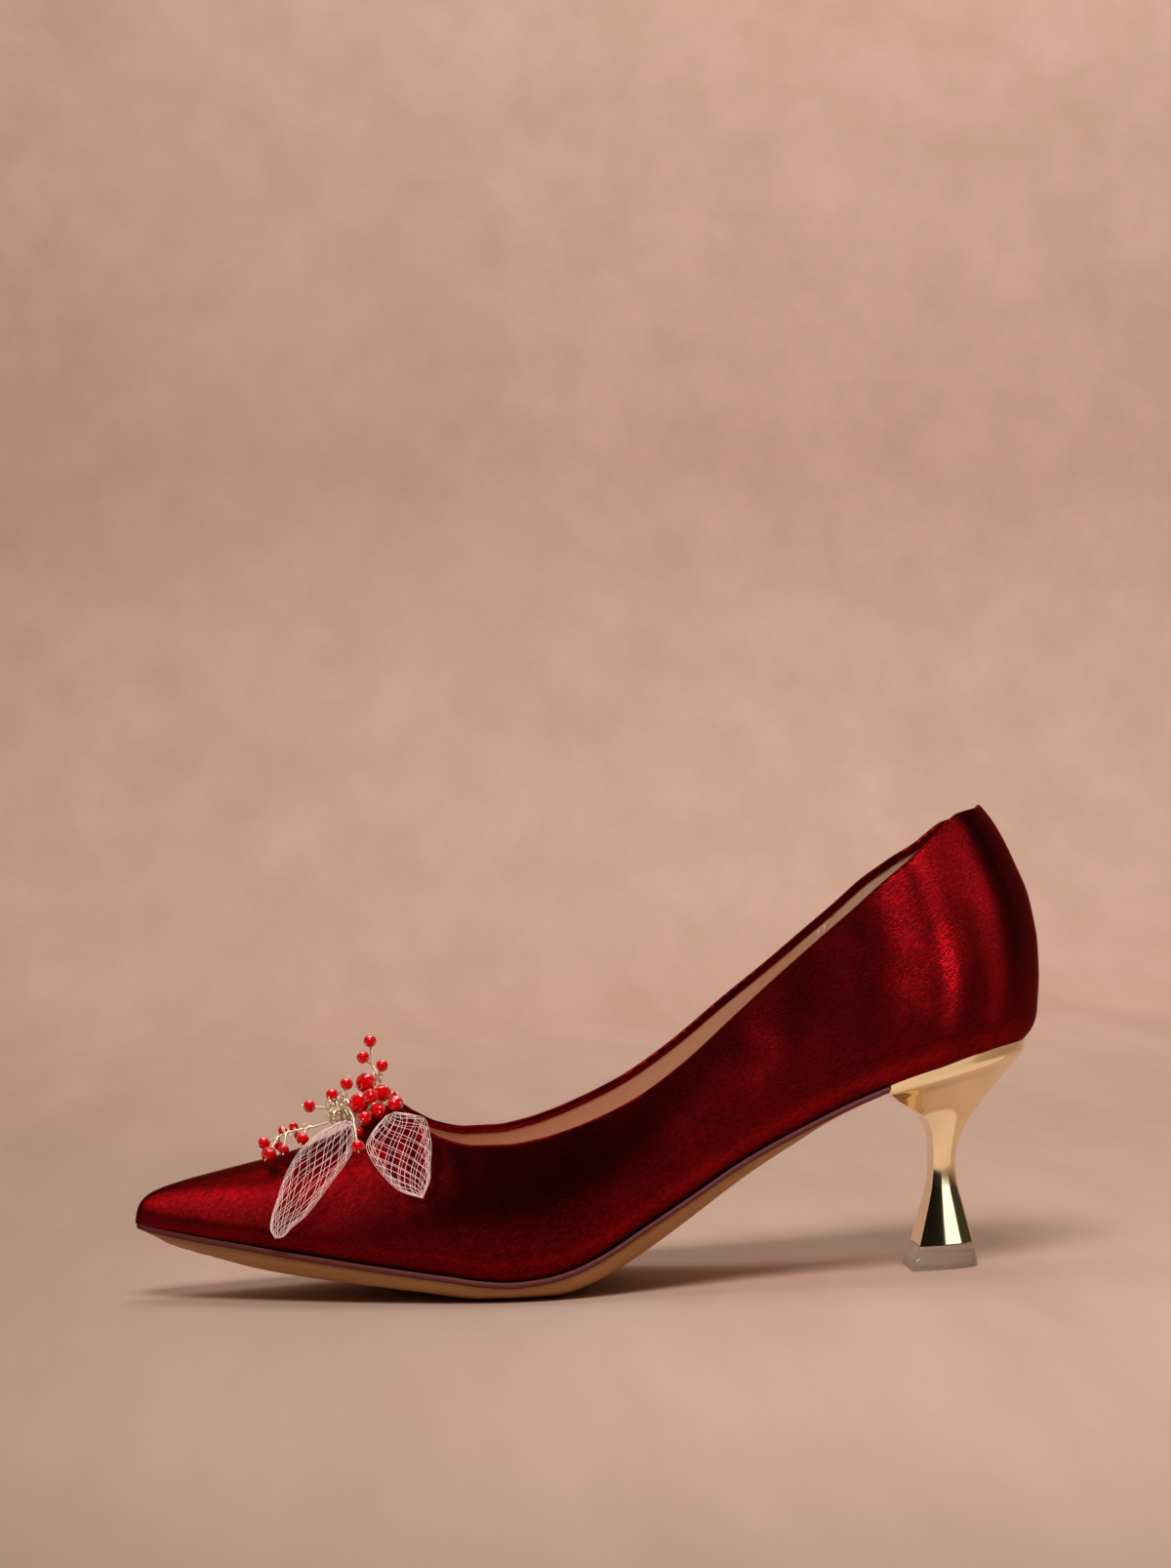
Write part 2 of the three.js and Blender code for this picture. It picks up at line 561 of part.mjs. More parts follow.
// A leaf: a thin pillow of net, puffed in the middle and cupped along its rim, pointed at both ends.
function leafGeometry(rows) {
  const lengthSteps = 12;
  const widthSteps = 6;
  const order = rows.map((_, k) => k);
  const value = (key) => smoothCurve(order, rows.map((row) => row[key]));
  const [at, across, up, half, face] = ["at", "across", "up", "half", "face"].map(value);
  const spine = (u) => new THREE.Vector3(at(u), across(u), up(u));
  const body = new Body();
  const layers = [1, -1].map((layer) =>
    Array.from({ length: lengthSteps + 1 }, (_, i) => {
      const u = (i / lengthSteps) * (rows.length - 1);
      const along = spine(Math.min(u + 0.05, rows.length - 1)).sub(spine(Math.max(u - 0.05, 0))).normalize();
      const turn = THREE.MathUtils.degToRad(face(u));
      const flat = Math.sqrt(1 - LEAF_TURN * LEAF_TURN);
      const outward = new THREE.Vector3(LEAF_TURN, -Math.cos(turn) * flat, Math.sin(turn) * flat);
      const sideways = new THREE.Vector3().crossVectors(outward, along).normalize();
      return Array.from({ length: widthSteps + 1 }, (_, j) => {
        const v = (2 * j) / widthSteps - 1;
        const puff = LEAF_PUFF * (1 - v * v) * Math.min(half(u) / 3, 1);
        const off = LEAF_CUP * half(u) * v * v + (layer * (LEAF_EDGE + puff)) / 2;
        const p = spine(u).addScaledVector(sideways, half(u) * v).addScaledVector(outward, off);
        const onTip = i === lengthSteps && j > 0;
        return onTip ? body.points.length - 1 : body.point(p.x, p.y, p.z);
      });
    }),
  );
  const [front, back] = layers;
  for (let i = 0; i < lengthSteps; i += 1) {
    for (let j = 0; j < widthSteps; j += 1) {
      body.quad(front[i][j], front[i + 1][j], front[i + 1][j + 1], front[i][j + 1]);
      body.quad(back[i][j], back[i][j + 1], back[i + 1][j + 1], back[i + 1][j]);
    }
    body.quad(front[i][0], back[i][0], back[i + 1][0], front[i + 1][0]);
    body.quad(front[i + 1][widthSteps], back[i + 1][widthSteps], back[i][widthSteps], front[i][widthSteps]);
  }
  for (let j = 0; j < widthSteps; j += 1) {
    body.quad(front[0][j], front[0][j + 1], back[0][j + 1], back[0][j]);
  }
  return body.geometry();
}

// A solid for joining, from a closed geometry.
function solidOf(geometry) {
  const bare = new THREE.BufferGeometry().setAttribute("position", geometry.getAttribute("position"));
  if (geometry.index) bare.setIndex(geometry.index);
  const merged = mergeVertices(bare, 1e-4);
  return new wasm.Manifold(
    new wasm.Mesh({
      numProp: 3,
      vertProperties: new Float32Array(merged.getAttribute("position").array),
      triVerts: new Uint32Array(merged.index.array),
    }),
  );
}

function geometryOf(solid) {
  const mesh = solid.getMesh();
  return new THREE.BufferGeometry()
    .setAttribute("position", new THREE.BufferAttribute(mesh.vertProperties, 3))
    .setIndex(new THREE.BufferAttribute(mesh.triVerts, 1));
}

// A length of wire through the given places.
function wireGeometry(points, steps) {
  const turn = (k) => (2 * Math.PI * k) / WIRE_SIDES;
  const corner = (k) => new THREE.Vector2(WIRE_RADIUS * Math.cos(turn(k)), WIRE_RADIUS * Math.sin(turn(k)));
  const section = new THREE.Shape(Array.from({ length: WIRE_SIDES }, (_, k) => corner(k)));
  return new THREE.ExtrudeGeometry(section, { steps, extrudePath: new THREE.CatmullRomCurve3(points) });
}

const beadPlace = (bead) => new THREE.Vector3(bead.at, bead.across, bead.up);

// The wire spray: the stems, and from their knots a straight twig to each bead that stops just short of it.
function sprayGeometry() {
  const knot = (name) => new THREE.Vector3(...(typeof name === "string" ? KNOTS[name] : name));
  const wires = STEMS.map((stem) => wireGeometry(stem.map(knot), 3 * (stem.length - 1)));
  for (const bead of BEADS) {
    const from = knot(bead.on);
    const towards = beadPlace(bead).sub(from);
    const reach = towards.length() - bead.radius - GAP;
    wires.push(wireGeometry([from, from.clone().addScaledVector(towards.normalize(), reach)], 1));
  }
  return geometryOf(wires.map(solidOf).reduce((joined, wire) => joined.add(wire)));
}

const shoe = new THREE.Group();

function add(name, geometry, material) {
  const mesh = new THREE.Mesh(geometry, material);
  mesh.name = name;
  shoe.add(mesh);
  return mesh;
}

add("upper", upperGeometry(), SATIN);
add("insole", insoleGeometry(), INSOLE_SOCK);
add("rand", randGeometry(), EDGE_PAINT);
add("outsole", outsoleGeometry(), TAN_SOLE);
add("heel", heelGeometry(), GOLD_PLATE);
add("top_piece", topPieceGeometry(), CLEAR_LIFT);
for (const [name, rows] of Object.entries(LEAVES)) add(name, leafGeometry(rows), CRIN_NET);
add("wire_spray", sprayGeometry(), GOLD_WIRE);
BEADS.forEach((bead, k) => {
  const name = `bead_${String(k + 1).padStart(2, "0")}`;
  add(name, new THREE.IcosahedronGeometry(bead.radius, 1), RED_GLASS).position.copy(beadPlace(bead));
});

// The origin is on the floor under the middle of the shoe's box.
const box = new THREE.Box3().setFromObject(shoe);
const centre = box.getCenter(new THREE.Vector3());
shoe.position.set(-centre.x, -centre.y, 0);

export default shoe;
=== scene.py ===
"""Dresses the wedding shoe: a dark red satin pump on a gold heel, with a spray of beads and two net leaves.

Sizes are millimetres along the shoe from the toe tip, across it (plus is the inner side) and up from the
floor. They are turned into metres in the row frame when a mesh is made.
"""
import math

import bpy
import numpy as np
from mathutils import Matrix


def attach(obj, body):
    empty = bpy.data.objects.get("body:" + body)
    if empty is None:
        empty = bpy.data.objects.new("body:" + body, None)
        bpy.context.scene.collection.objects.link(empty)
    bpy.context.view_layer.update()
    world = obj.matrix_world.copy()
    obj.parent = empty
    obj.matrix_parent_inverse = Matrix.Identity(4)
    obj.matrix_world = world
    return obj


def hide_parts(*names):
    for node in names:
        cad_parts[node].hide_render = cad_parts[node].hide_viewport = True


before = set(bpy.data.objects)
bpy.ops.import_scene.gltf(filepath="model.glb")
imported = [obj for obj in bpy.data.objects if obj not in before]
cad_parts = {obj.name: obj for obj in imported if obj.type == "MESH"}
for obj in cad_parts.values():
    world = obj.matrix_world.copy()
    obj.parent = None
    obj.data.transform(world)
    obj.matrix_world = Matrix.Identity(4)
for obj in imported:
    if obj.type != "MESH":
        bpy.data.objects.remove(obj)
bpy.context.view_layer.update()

MM = 0.001
ROW_ORIGIN = np.array([122.5, -0.2, 0.0])  # where the row frame starts, in the shoe's own millimetres

# The last and the pieces on it, as in the solids
SHOE_LENGTH = 245.0
THROAT_AT = 70.0
THROAT_ROUND = 30.0
BREAST_AT = 200.0
SEAT_BACK_AT = 240.4
OUTSOLE_END = 198.0
UPPER_WALL = 1.8
INSOLE_THICKNESS = 1.5
RAND_THICKNESS = 1.2
GAP = 0.3  # left between neighbouring solids
SIDE_FULLNESS = 2.2
TUCK_DEPTH = 3.0
TUCK_HEIGHT = 9.0
TUCK_FULL_AT = 25.0
TUCK_FADE = 3  # power by which the tuck dies out upwards
BACK_CURVE_FROM = 185.0
# inset of a flat piece's edge from the last's outline, and the share of the tuck added to it
RAND_EDGE = (0.4, 0.6)
OUTSOLE_EDGE = (2.0, 0.25)
INSOLE_EDGE = (2.3, 1.0)

LAST = dict(zip(("at", "half", "shift", "feather", "top", "open", "inner"), np.array([
    (0, 0, 3, 21.2, 21.2, 0.95, 0),
    (1, 2.5, 2.9, 20.8, 25.4, 0.95, 0),
    (4, 5, 2.8, 20, 28.4, 0.95, 0),
    (10, 8.6, 2.5, 18.9, 30.7, 0.95, 0),
    (20, 13.6, 2, 17.2, 33.2, 0.95, 0),
    (30, 18, 1.5, 15.6, 35.4, 0.95, 0),
    (40, 22.1, 1.1, 13.9, 37.7, 0.95, 0),
    (50, 26, 0.8, 12.4, 40.8, 0.95, 0),
    (60, 29.5, 0.6, 10.8, 45.2, 0.95, 0),
    (70, 32.5, 0.5, 9.3, 50.4, 0.95, 0),
    (76, 34.1, 0.4, 8.4, 46.2, 0.95, 0),
    (82, 35.4, 0.3, 7.5, 42.8, 0.88, 0),
    (90, 36.6, 0.1, 6.2, 41, 0.8, 0),
    (98, 37.2, -0.2, 5.6, 41, 0.775, 0),
    (106, 37.1, -0.6, 6.3, 42.1, 0.785, 0.2),
    (114, 36.3, -0.9, 8.2, 44.2, 0.8, 0.5),
    (122, 35, -1.2, 11.6, 47, 0.815, 0.9),
    (132, 32.9, -1.5, 17.3, 51.5, 0.825, 1.2),
    (145, 29.8, -1.8, 24.8, 60, 0.83, 1.3),
    (160, 27, -1.6, 33.6, 72.3, 0.82, 1),
    (175, 25.4, -1.2, 40.9, 84.6, 0.79, 0.3),
    (190, 25.2, -0.7, 47.5, 96.3, 0.76, 0.3),
    (202, 25.5, -0.3, 51.9, 104, 0.73, 0.4),
    (214, 25.4, 0, 55.3, 110, 0.69, -0.2),
    (226, 23.2, 0, 58.4, 116.5, 0.66, -1.9),
    (237, 17.3, 0, 60.4, 122.8, 0.64, -2.2),
    (245, 0, 0, 61.5, 124.6, 0.62, 0),
], float).T))

BACK_SEAM = dict(
    rise=[0, 0.14, 0.28, 0.4, 0.52, 0.62, 0.73, 0.85, 0.94, 1],
    lean=[-1.5, -0.7, 0, -0.1, -1.1, -2.4, -5.1, -8.4, -11.6, -14.6],
)

OUTSOLE = dict(zip(("at", "low", "flat"), np.array([
    (0, 19.2, 0.3), (3, 17.4, 0.35), (8, 14.9, 0.4), (14, 13, 0.45), (22, 10.9, 0.5), (31, 8.6, 0.55),
    (45, 6.1, 0.58), (60, 4, 0.6), (75, 2, 0.62), (90, 0, 0.63), (110, 0, 0.6), (118, 1.8, 0.55),
    (127, 5.6, 0.48), (138, 11.9, 0.42), (150, 19.8, 0.38), (162, 28, 0.35), (174, 35.4, 0.35),
    (186, 42.9, 0.35), (198, 48.7, 0.35),
], float).T))

HEEL_COLUMNS = ("front_at", "front_up", "back_at", "back_up", "half", "round")
HEEL = dict(zip(HEEL_COLUMNS, np.array([
    (200.4, 51, 240.4, 60.4, 22.4, 3.2),
    (200.3, 49.4, 240.3, 58.7, 22.2, 3.2),
    (203, 46.7, 236.8, 53.9, 17.4, 2.7),
    (206.6, 44.4, 232.8, 49.4, 13.3, 2.4),
    (210.2, 42.1, 228.9, 44.9, 10, 2.2),
    (212.6, 39.4, 225.6, 40.7, 7.7, 2.1),
    (213.7, 36, 222.9, 36.4, 6.1, 2),
    (214, 32, 221.2, 32, 5.2, 2),
    (213.9, 27.6, 220.6, 27.6, 4.9, 2),
    (213.2, 22, 221.1, 22, 5.2, 2),
    (211.8, 16.4, 222.4, 16.4, 6, 2),
    (210.4, 11.4, 223.6, 11.4, 6.9, 2),
    (209, 6.65, 224.8, 6.65, 7.7, 2),
], float).T))
TOP_PIECE = dict(zip(HEEL_COLUMNS, np.array([
    (208.9, 6.35, 225, 6.35, 7.8, 2.2),
    (208, 3.2, 225.2, 3.2, 8.2, 2.2),
    (207.6, 3, 225.6, 3, 8.6, 2.3),
    (206.6, 0, 225.6, 0, 8.8, 2.3),
], float).T))

LEAF_COLUMNS = ("at", "across", "up", "half", "face")
LEAVES = {
    "leaf_toe": [
        (56.5, -9.6, 46.2, 2, 65), (55, -12.2, 43.6, 6, 62), (51.2, -15.9, 38.2, 8.4, 56),
        (47.4, -18.9, 33.6, 7.3, 44), (42.5, -21.4, 26.4, 5.1, 26), (39.5, -21.7, 22.4, 3.3, 14),
        (38, -21.5, 19.3, 2, 6), (37.4, -21.3, 18, 0, 3),
    ],
    "leaf_throat": [
        (68.7, -14.8, 48.2, 1.5, 68), (69.2, -18.4, 46, 5.6, 62), (70.1, -22.4, 43, 8.6, 54),
        (71.5, -26.5, 39, 8, 43), (72.9, -29.4, 34.8, 6.2, 33), (74.5, -31.4, 31.2, 4, 27),
        (75.8, -32.4, 28, 0, 22),
    ],
}
LEAF_TURN = -0.36  # how far a leaf's face turns along the shoe, minus towards the toe
LEAF_EDGE = 0.4
LEAF_PUFF = 1.2  # added to the edge's thickness in the middle of a leaf
LEAF_PUFF_HALF = 3.0  # half width from which a leaf is puffed in full
LEAF_CUP = 0.1  # how far the rims bend outwards, as a share of the half width
LEAF_STEP = 0.05  # step between the rows that gives the direction of a leaf's spine

KNOTS = dict(
    foot=(64.5, -4.5, 47.7), root=(64.5, -4.5, 49.8), crown=(65.7, -4, 57.6), fork=(64.3, -4.4, 60.6),
    low=(63.4, -8.2, 47.7), through=(59.5, -6.3, 47.5), tangle=(55.2, -5.5, 49.5), drop=(58.8, -16.6, 48.4),
    twig_a=(46.5, -4.7, 44.8), twig_b=(43.5, -4.8, 44.3), twig_c=(41, -5, 43.7), twig_d=(39, -5.2, 43),
)
STEMS = [
    ("foot", "root", (66.7, -3.2, 54), "crown", "fork"),
    ("root", "low"),
    ("root", "through", "tangle"),
    ("tangle", (57.4, -11, 50.2), "drop"),
    ("tangle", (53.4, -5.4, 46.8), (50, -5, 45.6), "twig_a", "twig_b", "twig_c", "twig_d"),
]
BEADS = [
    (63.9, -6, 67.3, 1.75, "fork"), (61.9, -6.5, 63.1, 1.75, "fork"), (66.9, -5.6, 60.6, 1.7, "crown"),
    (57.3, -6, 56.2, 1.75, "tangle"), (53.4, -6, 53.5, 1.75, "tangle"), (47.3, -5, 50.6, 1.75, "tangle"),
    (69.4, -3, 52.3, 1.4, "root"), (70, -12.6, 51, 2.2, "root"), (65.4, -11.8, 49.2, 2.15, "root"),
    (61.8, -14.2, 47.6, 1.95, "low"), (58.9, -2.3, 49.6, 1.8, "through"), (62.5, -3.3, 56, 2.9, "root"),
    (60.4, -8.8, 51.1, 2.85, "low"), (66.7, -8, 53.6, 2.4, "root"), (60.2, -13.6, 44.2, 1.2, "drop"),
    (59.6, -23.4, 41.2, 1.8, "drop"), (35, -5, 41.3, 1.7, "twig_d"), (36.2, -9.2, 38.8, 2.1, "twig_d"),
    (38.8, -3.8, 40.4, 1.3, "twig_d"), (40.2, -8.3, 39.7, 1.4, "twig_c"), (45.2, -7.4, 42.2, 1.7, "twig_a"),
    (43.9, -2.6, 42.8, 1.05, "twig_b"), (42.9, -1.2, 44.9, 1.3, "twig_b"), (40, -1.2, 44, 1.3, "twig_c"),
    (63.5, -12.3, 53.2, 2.05, "low"),
]
CUT_FROM_RADIUS = 2.0  # beads larger than this are cut in facets


# Curves and the last

def smooth_curve(places, values):
    """A curve through points whose places rise, with no overshoot between them."""
    places = np.asarray(places, float)
    values = np.asarray(values, float)
    widths = np.diff(places)
    slopes = np.diff(values) / widths
    tangents = np.zeros(len(values))
    tangents[0], tangents[-1] = slopes[0], slopes[-1]
    for k in range(1, len(slopes)):
        if slopes[k - 1] * slopes[k] > 0:
            before = 2 * widths[k] + widths[k - 1]
            after = widths[k] + 2 * widths[k - 1]
            tangents[k] = (before + after) / (before / slopes[k - 1] + after / slopes[k])

    def curve(place):
        k = np.clip(np.searchsorted(places, place) - 1, 0, len(widths) - 1)
        t = np.clip((place - places[k]) / widths[k], 0, 1)
        lift = (values[k + 1] - values[k]) * t * t * (3 - 2 * t)
        start = tangents[k] * widths[k] * t * (1 - t) ** 2
        end = tangents[k + 1] * widths[k] * t * t * (t - 1)
        return values[k] + lift + start + end
    return curve


def angle_at(at):
    """A place along the shoe as an angle, so that even steps lie close together at both ends."""
    return np.arccos(np.clip(1 - 2 * np.asarray(at, float) / SHOE_LENGTH, -1, 1))


def place_at(angle):
    return (1 - np.cos(angle)) * SHOE_LENGTH / 2


def along(table, column):
    """One column of a table with rows along the shoe, as a function of the place."""
    curve = smooth_curve(angle_at(table["at"]), table[column])
    return lambda at: curve(angle_at(at))


half_width, middle, feather_up, top_up, open_share, inner_rise = (
    along(LAST, column) for column in ("half", "shift", "feather", "top", "open", "inner"))
sole_low, sole_flat = along(OUTSOLE, "low"), along(OUTSOLE, "flat")
back_lean = smooth_curve(BACK_SEAM["rise"], BACK_SEAM["lean"])


def soft_step(value, start, end):
    t = np.clip((value - start) / (end - start), 0, 1)
    return t * t * (3 - 2 * t)


def inward_from(at, side):
    """The direction into the shoe, in plan, from the last's outline."""
    step = 0.002
    angle = np.clip(angle_at(at), step, math.pi - step)
    before, after = place_at(angle - step), place_at(angle + step)
    run = after - before
    widening = middle(after) - middle(before) + side * (half_width(after) - half_width(before))
    size = np.hypot(run, widening)
    return side * widening / size, -side * run / size


def lean_at(at, rise):
    return back_lean(rise) * soft_step(at, BACK_CURVE_FROM, SHOE_LENGTH)


def tuck_at(at):
    return TUCK_DEPTH * np.minimum((top_up(at) - feather_up(at)) / TUCK_FULL_AT, 1)


def edge_point(at, side, edge):
    """A point on the edge of a flat piece in plan, inside the last's outline."""
    in_x, in_y = inward_from(at, side)
    inset = edge[0] + edge[1] * tuck_at(at)
    return at + lean_at(at, 0.0) + in_x * inset, middle(at) + side * half_width(at) + in_y * inset


def wall_points(at, side, rise):
    """Points of the upper's outer face: rise goes from 0 at the feather line to 1 at the top edge."""
    base = feather_up(at)
    height = top_up(at) + (inner_rise(at) if side > 0 else 0) - base
    share = np.clip((at - THROAT_AT) / THROAT_ROUND, 0, 1)
    opened = open_share(at) * np.sqrt(share * (2 - share))
    turn = np.arccos(np.power(opened, SIDE_FULLNESS / 2))
    up = height * np.sin(turn * rise) / np.sin(turn)
    out = half_width(at) * np.power(np.maximum(np.cos(turn * rise), 0), 2 / SIDE_FULLNESS)
    tuck = tuck_at(at) * np.power(np.maximum(1 - up / TUCK_HEIGHT, 0), TUCK_FADE)
    in_x, in_y = inward_from(at, side)
    lean = lean_at(at, up / np.maximum(height, 1e-6))
    return np.stack(np.broadcast_arrays(at + in_x * tuck + lean, middle(at) + side * out + in_y * tuck,
                                        base + up), axis=-1)


def seam_up(at):
    """The height of the feather line read at its own place in plan."""
    stretch = (SHOE_LENGTH - BREAST_AT) / (SEAT_BACK_AT - BREAST_AT)
    behind = np.minimum(BREAST_AT + (at - BREAST_AT) * stretch, SHOE_LENGTH)
    return feather_up(np.where(at < BREAST_AT, at, behind))


def spread(start, end, count, round_start=False, round_end=False):
    """Places from one end to another, close together at the ends that are round."""
    t = np.linspace(0, 1, count + 1)
    if round_start and round_end:
        t = (1 - np.cos(math.pi * t)) / 2
    elif round_start:
        t = 1 - np.cos(math.pi / 2 * t)
    elif round_end:
        t = np.sin(math.pi / 2 * t)
    return start + (end - start) * t


# Meshes

def unit(vectors):
    return vectors / np.maximum(np.linalg.norm(vectors, axis=-1, keepdims=True), 1e-12)


def grid_faces(index, ring=False, turned=False):
    """Quads between neighbours of an index grid; ring closes each row, and collapsed corners are dropped."""
    if ring:
        index = np.concatenate([index, index[:, :1]], axis=1)
    quads = np.stack([index[:-1, :-1], index[1:, :-1], index[1:, 1:], index[:-1, 1:]], axis=-1).reshape(-1, 4)
    if turned:
        quads = quads[:, ::-1]
    faces = [tuple(dict.fromkeys(quad)) for quad in quads.tolist()]
    return [face for face in faces if len(face) > 2]


def vertex_normals(points, faces):
    normals = np.zeros_like(points)
    for face in faces:
        corners = points[list(face)]
        normal = np.cross(corners[1] - corners[0], corners[2] - corners[0])
        if len(face) == 4:
            normal = normal + np.cross(corners[2] - corners[0], corners[3] - corners[0])
        normals[list(face)] += normal
    return unit(normals)


class Joined:
    """Points and faces of one mesh, gathered part by part."""

    def __init__(self):
        self.points = []
        self.faces = []
        self.count = 0

    def add(self, points, faces):
        self.points.append(np.asarray(points, float))
        self.faces += [tuple(corner + self.count for corner in face) for face in faces]
        self.count += len(points)


def new_mesh(name, points, faces, material):
    """A smooth mesh of one material, in metres."""
    mesh = bpy.data.meshes.new(name)
    mesh.from_pydata(points, [], faces)
    mesh.validate()
    mesh.polygons.foreach_set("use_smooth", [True] * len(mesh.polygons))
    mesh.materials.append(material)
    made = bpy.data.objects.new(name, mesh)
    bpy.context.scene.collection.objects.link(made)
    return made


def piece(name, points, faces, material, nodes=(), sharp_angle=None):
    """A piece of the shoe in the row frame, smooth apart from edges sharper than an angle in degrees."""
    made = new_mesh(name, ((np.asarray(points, float) - ROW_ORIGIN) * MM).tolist(), faces, material)
    if sharp_angle:
        made.data.set_sharp_from_angle(angle=math.radians(sharp_angle))
    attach(made, "root")
    if nodes:
        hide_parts(*nodes)
    return made


# Materials

def linear(code):
    """An sRGB hex colour as linear values with full alpha."""
    values = [int(code[k:k + 2], 16) / 255 for k in (0, 2, 4)]
    return [v / 12.92 if v <= 0.04045 else ((v + 0.055) / 1.055) ** 2.4 for v in values] + [1.0]


def add_node(tree, kind, inputs=None, **settings):
    """Adds a shader node with its settings; an input is a value, or another node's output to link."""
    node = tree.nodes.new("ShaderNode" + kind)
    for name, value in settings.items():
        setattr(node, name, value)
    for socket, value in (inputs or {}).items():
        if isinstance(value, bpy.types.NodeSocket):
            tree.links.new(value, node.inputs[socket])
        else:
            node.inputs[socket].default_value = value
    return node


def new_finish(name, **sockets):
    """A material with one principled shader, whose constant values are set on its own sockets."""
    material = bpy.data.materials.new(name)
    material.use_nodes = True
    tree = material.node_tree
    shader = tree.nodes["Principled BSDF"]
    for socket, value in sockets.items():
        shader.inputs[socket.replace("_", " ")].default_value = value
    coordinates = add_node(tree, "TexCoord").outputs["Object"]
    return material, tree, shader, coordinates


def varied_finish(name, size, detail, colours=None, gloss=None, relief=None, **sockets):
    """A finish that is varied by one noise, whose size is given in metres along, across and up.

    Colours are those at the noise's ends. Gloss is a range of the noise and the roughness at its ends.
    Relief is the strength and the depth of a bump.
    """
    material, tree, shader, coordinates = new_finish(name, **sockets)
    space = add_node(tree, "Mapping", {"Vector": coordinates, "Scale": size}, vector_type="TEXTURE")
    noise = add_node(tree, "TexNoise", {
        "Vector": space.outputs[0], "Scale": 1.0, "Detail": detail}).outputs[0]
    if colours:
        tone = add_node(tree, "Mix", {
            0: noise, 6: linear(colours[0]), 7: linear(colours[1])}, data_type="RGBA")
        tree.links.new(tone.outputs[2], shader.inputs["Base Color"])
    if gloss:
        roughness = add_node(tree, "MapRange", {0: noise, **dict(enumerate(gloss, 1))})
        tree.links.new(roughness.outputs[0], shader.inputs["Roughness"])
    if relief:
        bump = add_node(tree, "Bump", {"Strength": relief[0], "Distance": relief[1], "Height": noise})
        tree.links.new(bump.outputs[0], shader.inputs["Normal"])
    return material


def woven_satin():
    """Satin, piece-dyed dark red, woven with long floats on a twill line. The floats act like fine threads of
    coloured gloss: dark where they see the dark room, crimson where they see a light, and speckled there."""
    thread_run, thread_width = 0.0016, 0.00035  # real floats are about 0.1 mm wide; coarser here to show
    twill_pitch = 0.00055  # the real line is about 0.3 mm; coarser here so that it shows
    twill_rise = math.radians(-27)
    cloud_size = 0.016
    material, tree, shader, coordinates = new_finish(
        "woven_satin", Metallic=1.0, Specular_Tint=linear("b01820"), Sheen_Weight=0.05,
        Sheen_Roughness=0.6, Sheen_Tint=linear("d89898"))
    threads = add_node(tree, "Mapping", {
        "Vector": coordinates, "Rotation": (0, twill_rise, 0),
        "Scale": (thread_run, thread_width, thread_width),
    }, vector_type="TEXTURE")
    streaks = add_node(tree, "TexNoise", {"Vector": threads.outputs[0], "Scale": 1.0, "Detail": 3.0})
    lines = add_node(tree, "Mapping", {
        "Vector": coordinates, "Rotation": (0, twill_rise, 0), "Scale": (twill_pitch,) * 3,
    }, vector_type="TEXTURE")
    line_axes = add_node(tree, "SeparateXYZ", {0: lines.outputs[0]})
    phase = add_node(tree, "Math", {0: line_axes.outputs[2], 1: 2 * math.pi}, operation="MULTIPLY")
    twill = add_node(tree, "Math", {0: phase.outputs[0]}, operation="SINE")
    clouds_space = add_node(tree, "Mapping", {
        "Vector": coordinates, "Scale": (cloud_size,) * 3}, vector_type="TEXTURE")
    clouds = add_node(tree, "TexNoise", {
        "Vector": clouds_space.outputs[0], "Scale": 1.0, "Detail": 1.5, "Roughness": 0.5})
    mixed = add_node(tree, "Mix", {
        0: 0.25, 2: streaks.outputs[0], 3: clouds.outputs[0]}, data_type="FLOAT")
    shade = add_node(tree, "ValToRGB", {0: mixed.outputs[0]})
    shade.color_ramp.elements[0].position = 0.3
    shade.color_ramp.elements[0].color = linear("380405")
    shade.color_ramp.elements[1].position = 0.72
    shade.color_ramp.elements[1].color = linear("900910")
    tree.links.new(shade.outputs[0], shader.inputs["Base Color"])
    gloss = add_node(tree, "MapRange", {0: streaks.outputs[0], 1: 0.3, 2: 0.7, 3: 0.29, 4: 0.21})
    tree.links.new(gloss.outputs[0], shader.inputs["Roughness"])
    relief = add_node(tree, "Math", {0: twill.outputs[0], 1: streaks.outputs[0]}, operation="ADD")
    dents = add_node(tree, "Bump", {"Strength": 0.35, "Distance": 0.001, "Height": clouds.outputs[0]})
    bump = add_node(tree, "Bump", {
        "Strength": 0.24, "Distance": 0.0001, "Height": relief.outputs[0], "Normal": dents.outputs[0]})
    tree.links.new(bump.outputs[0], shader.inputs["Normal"])
    return material


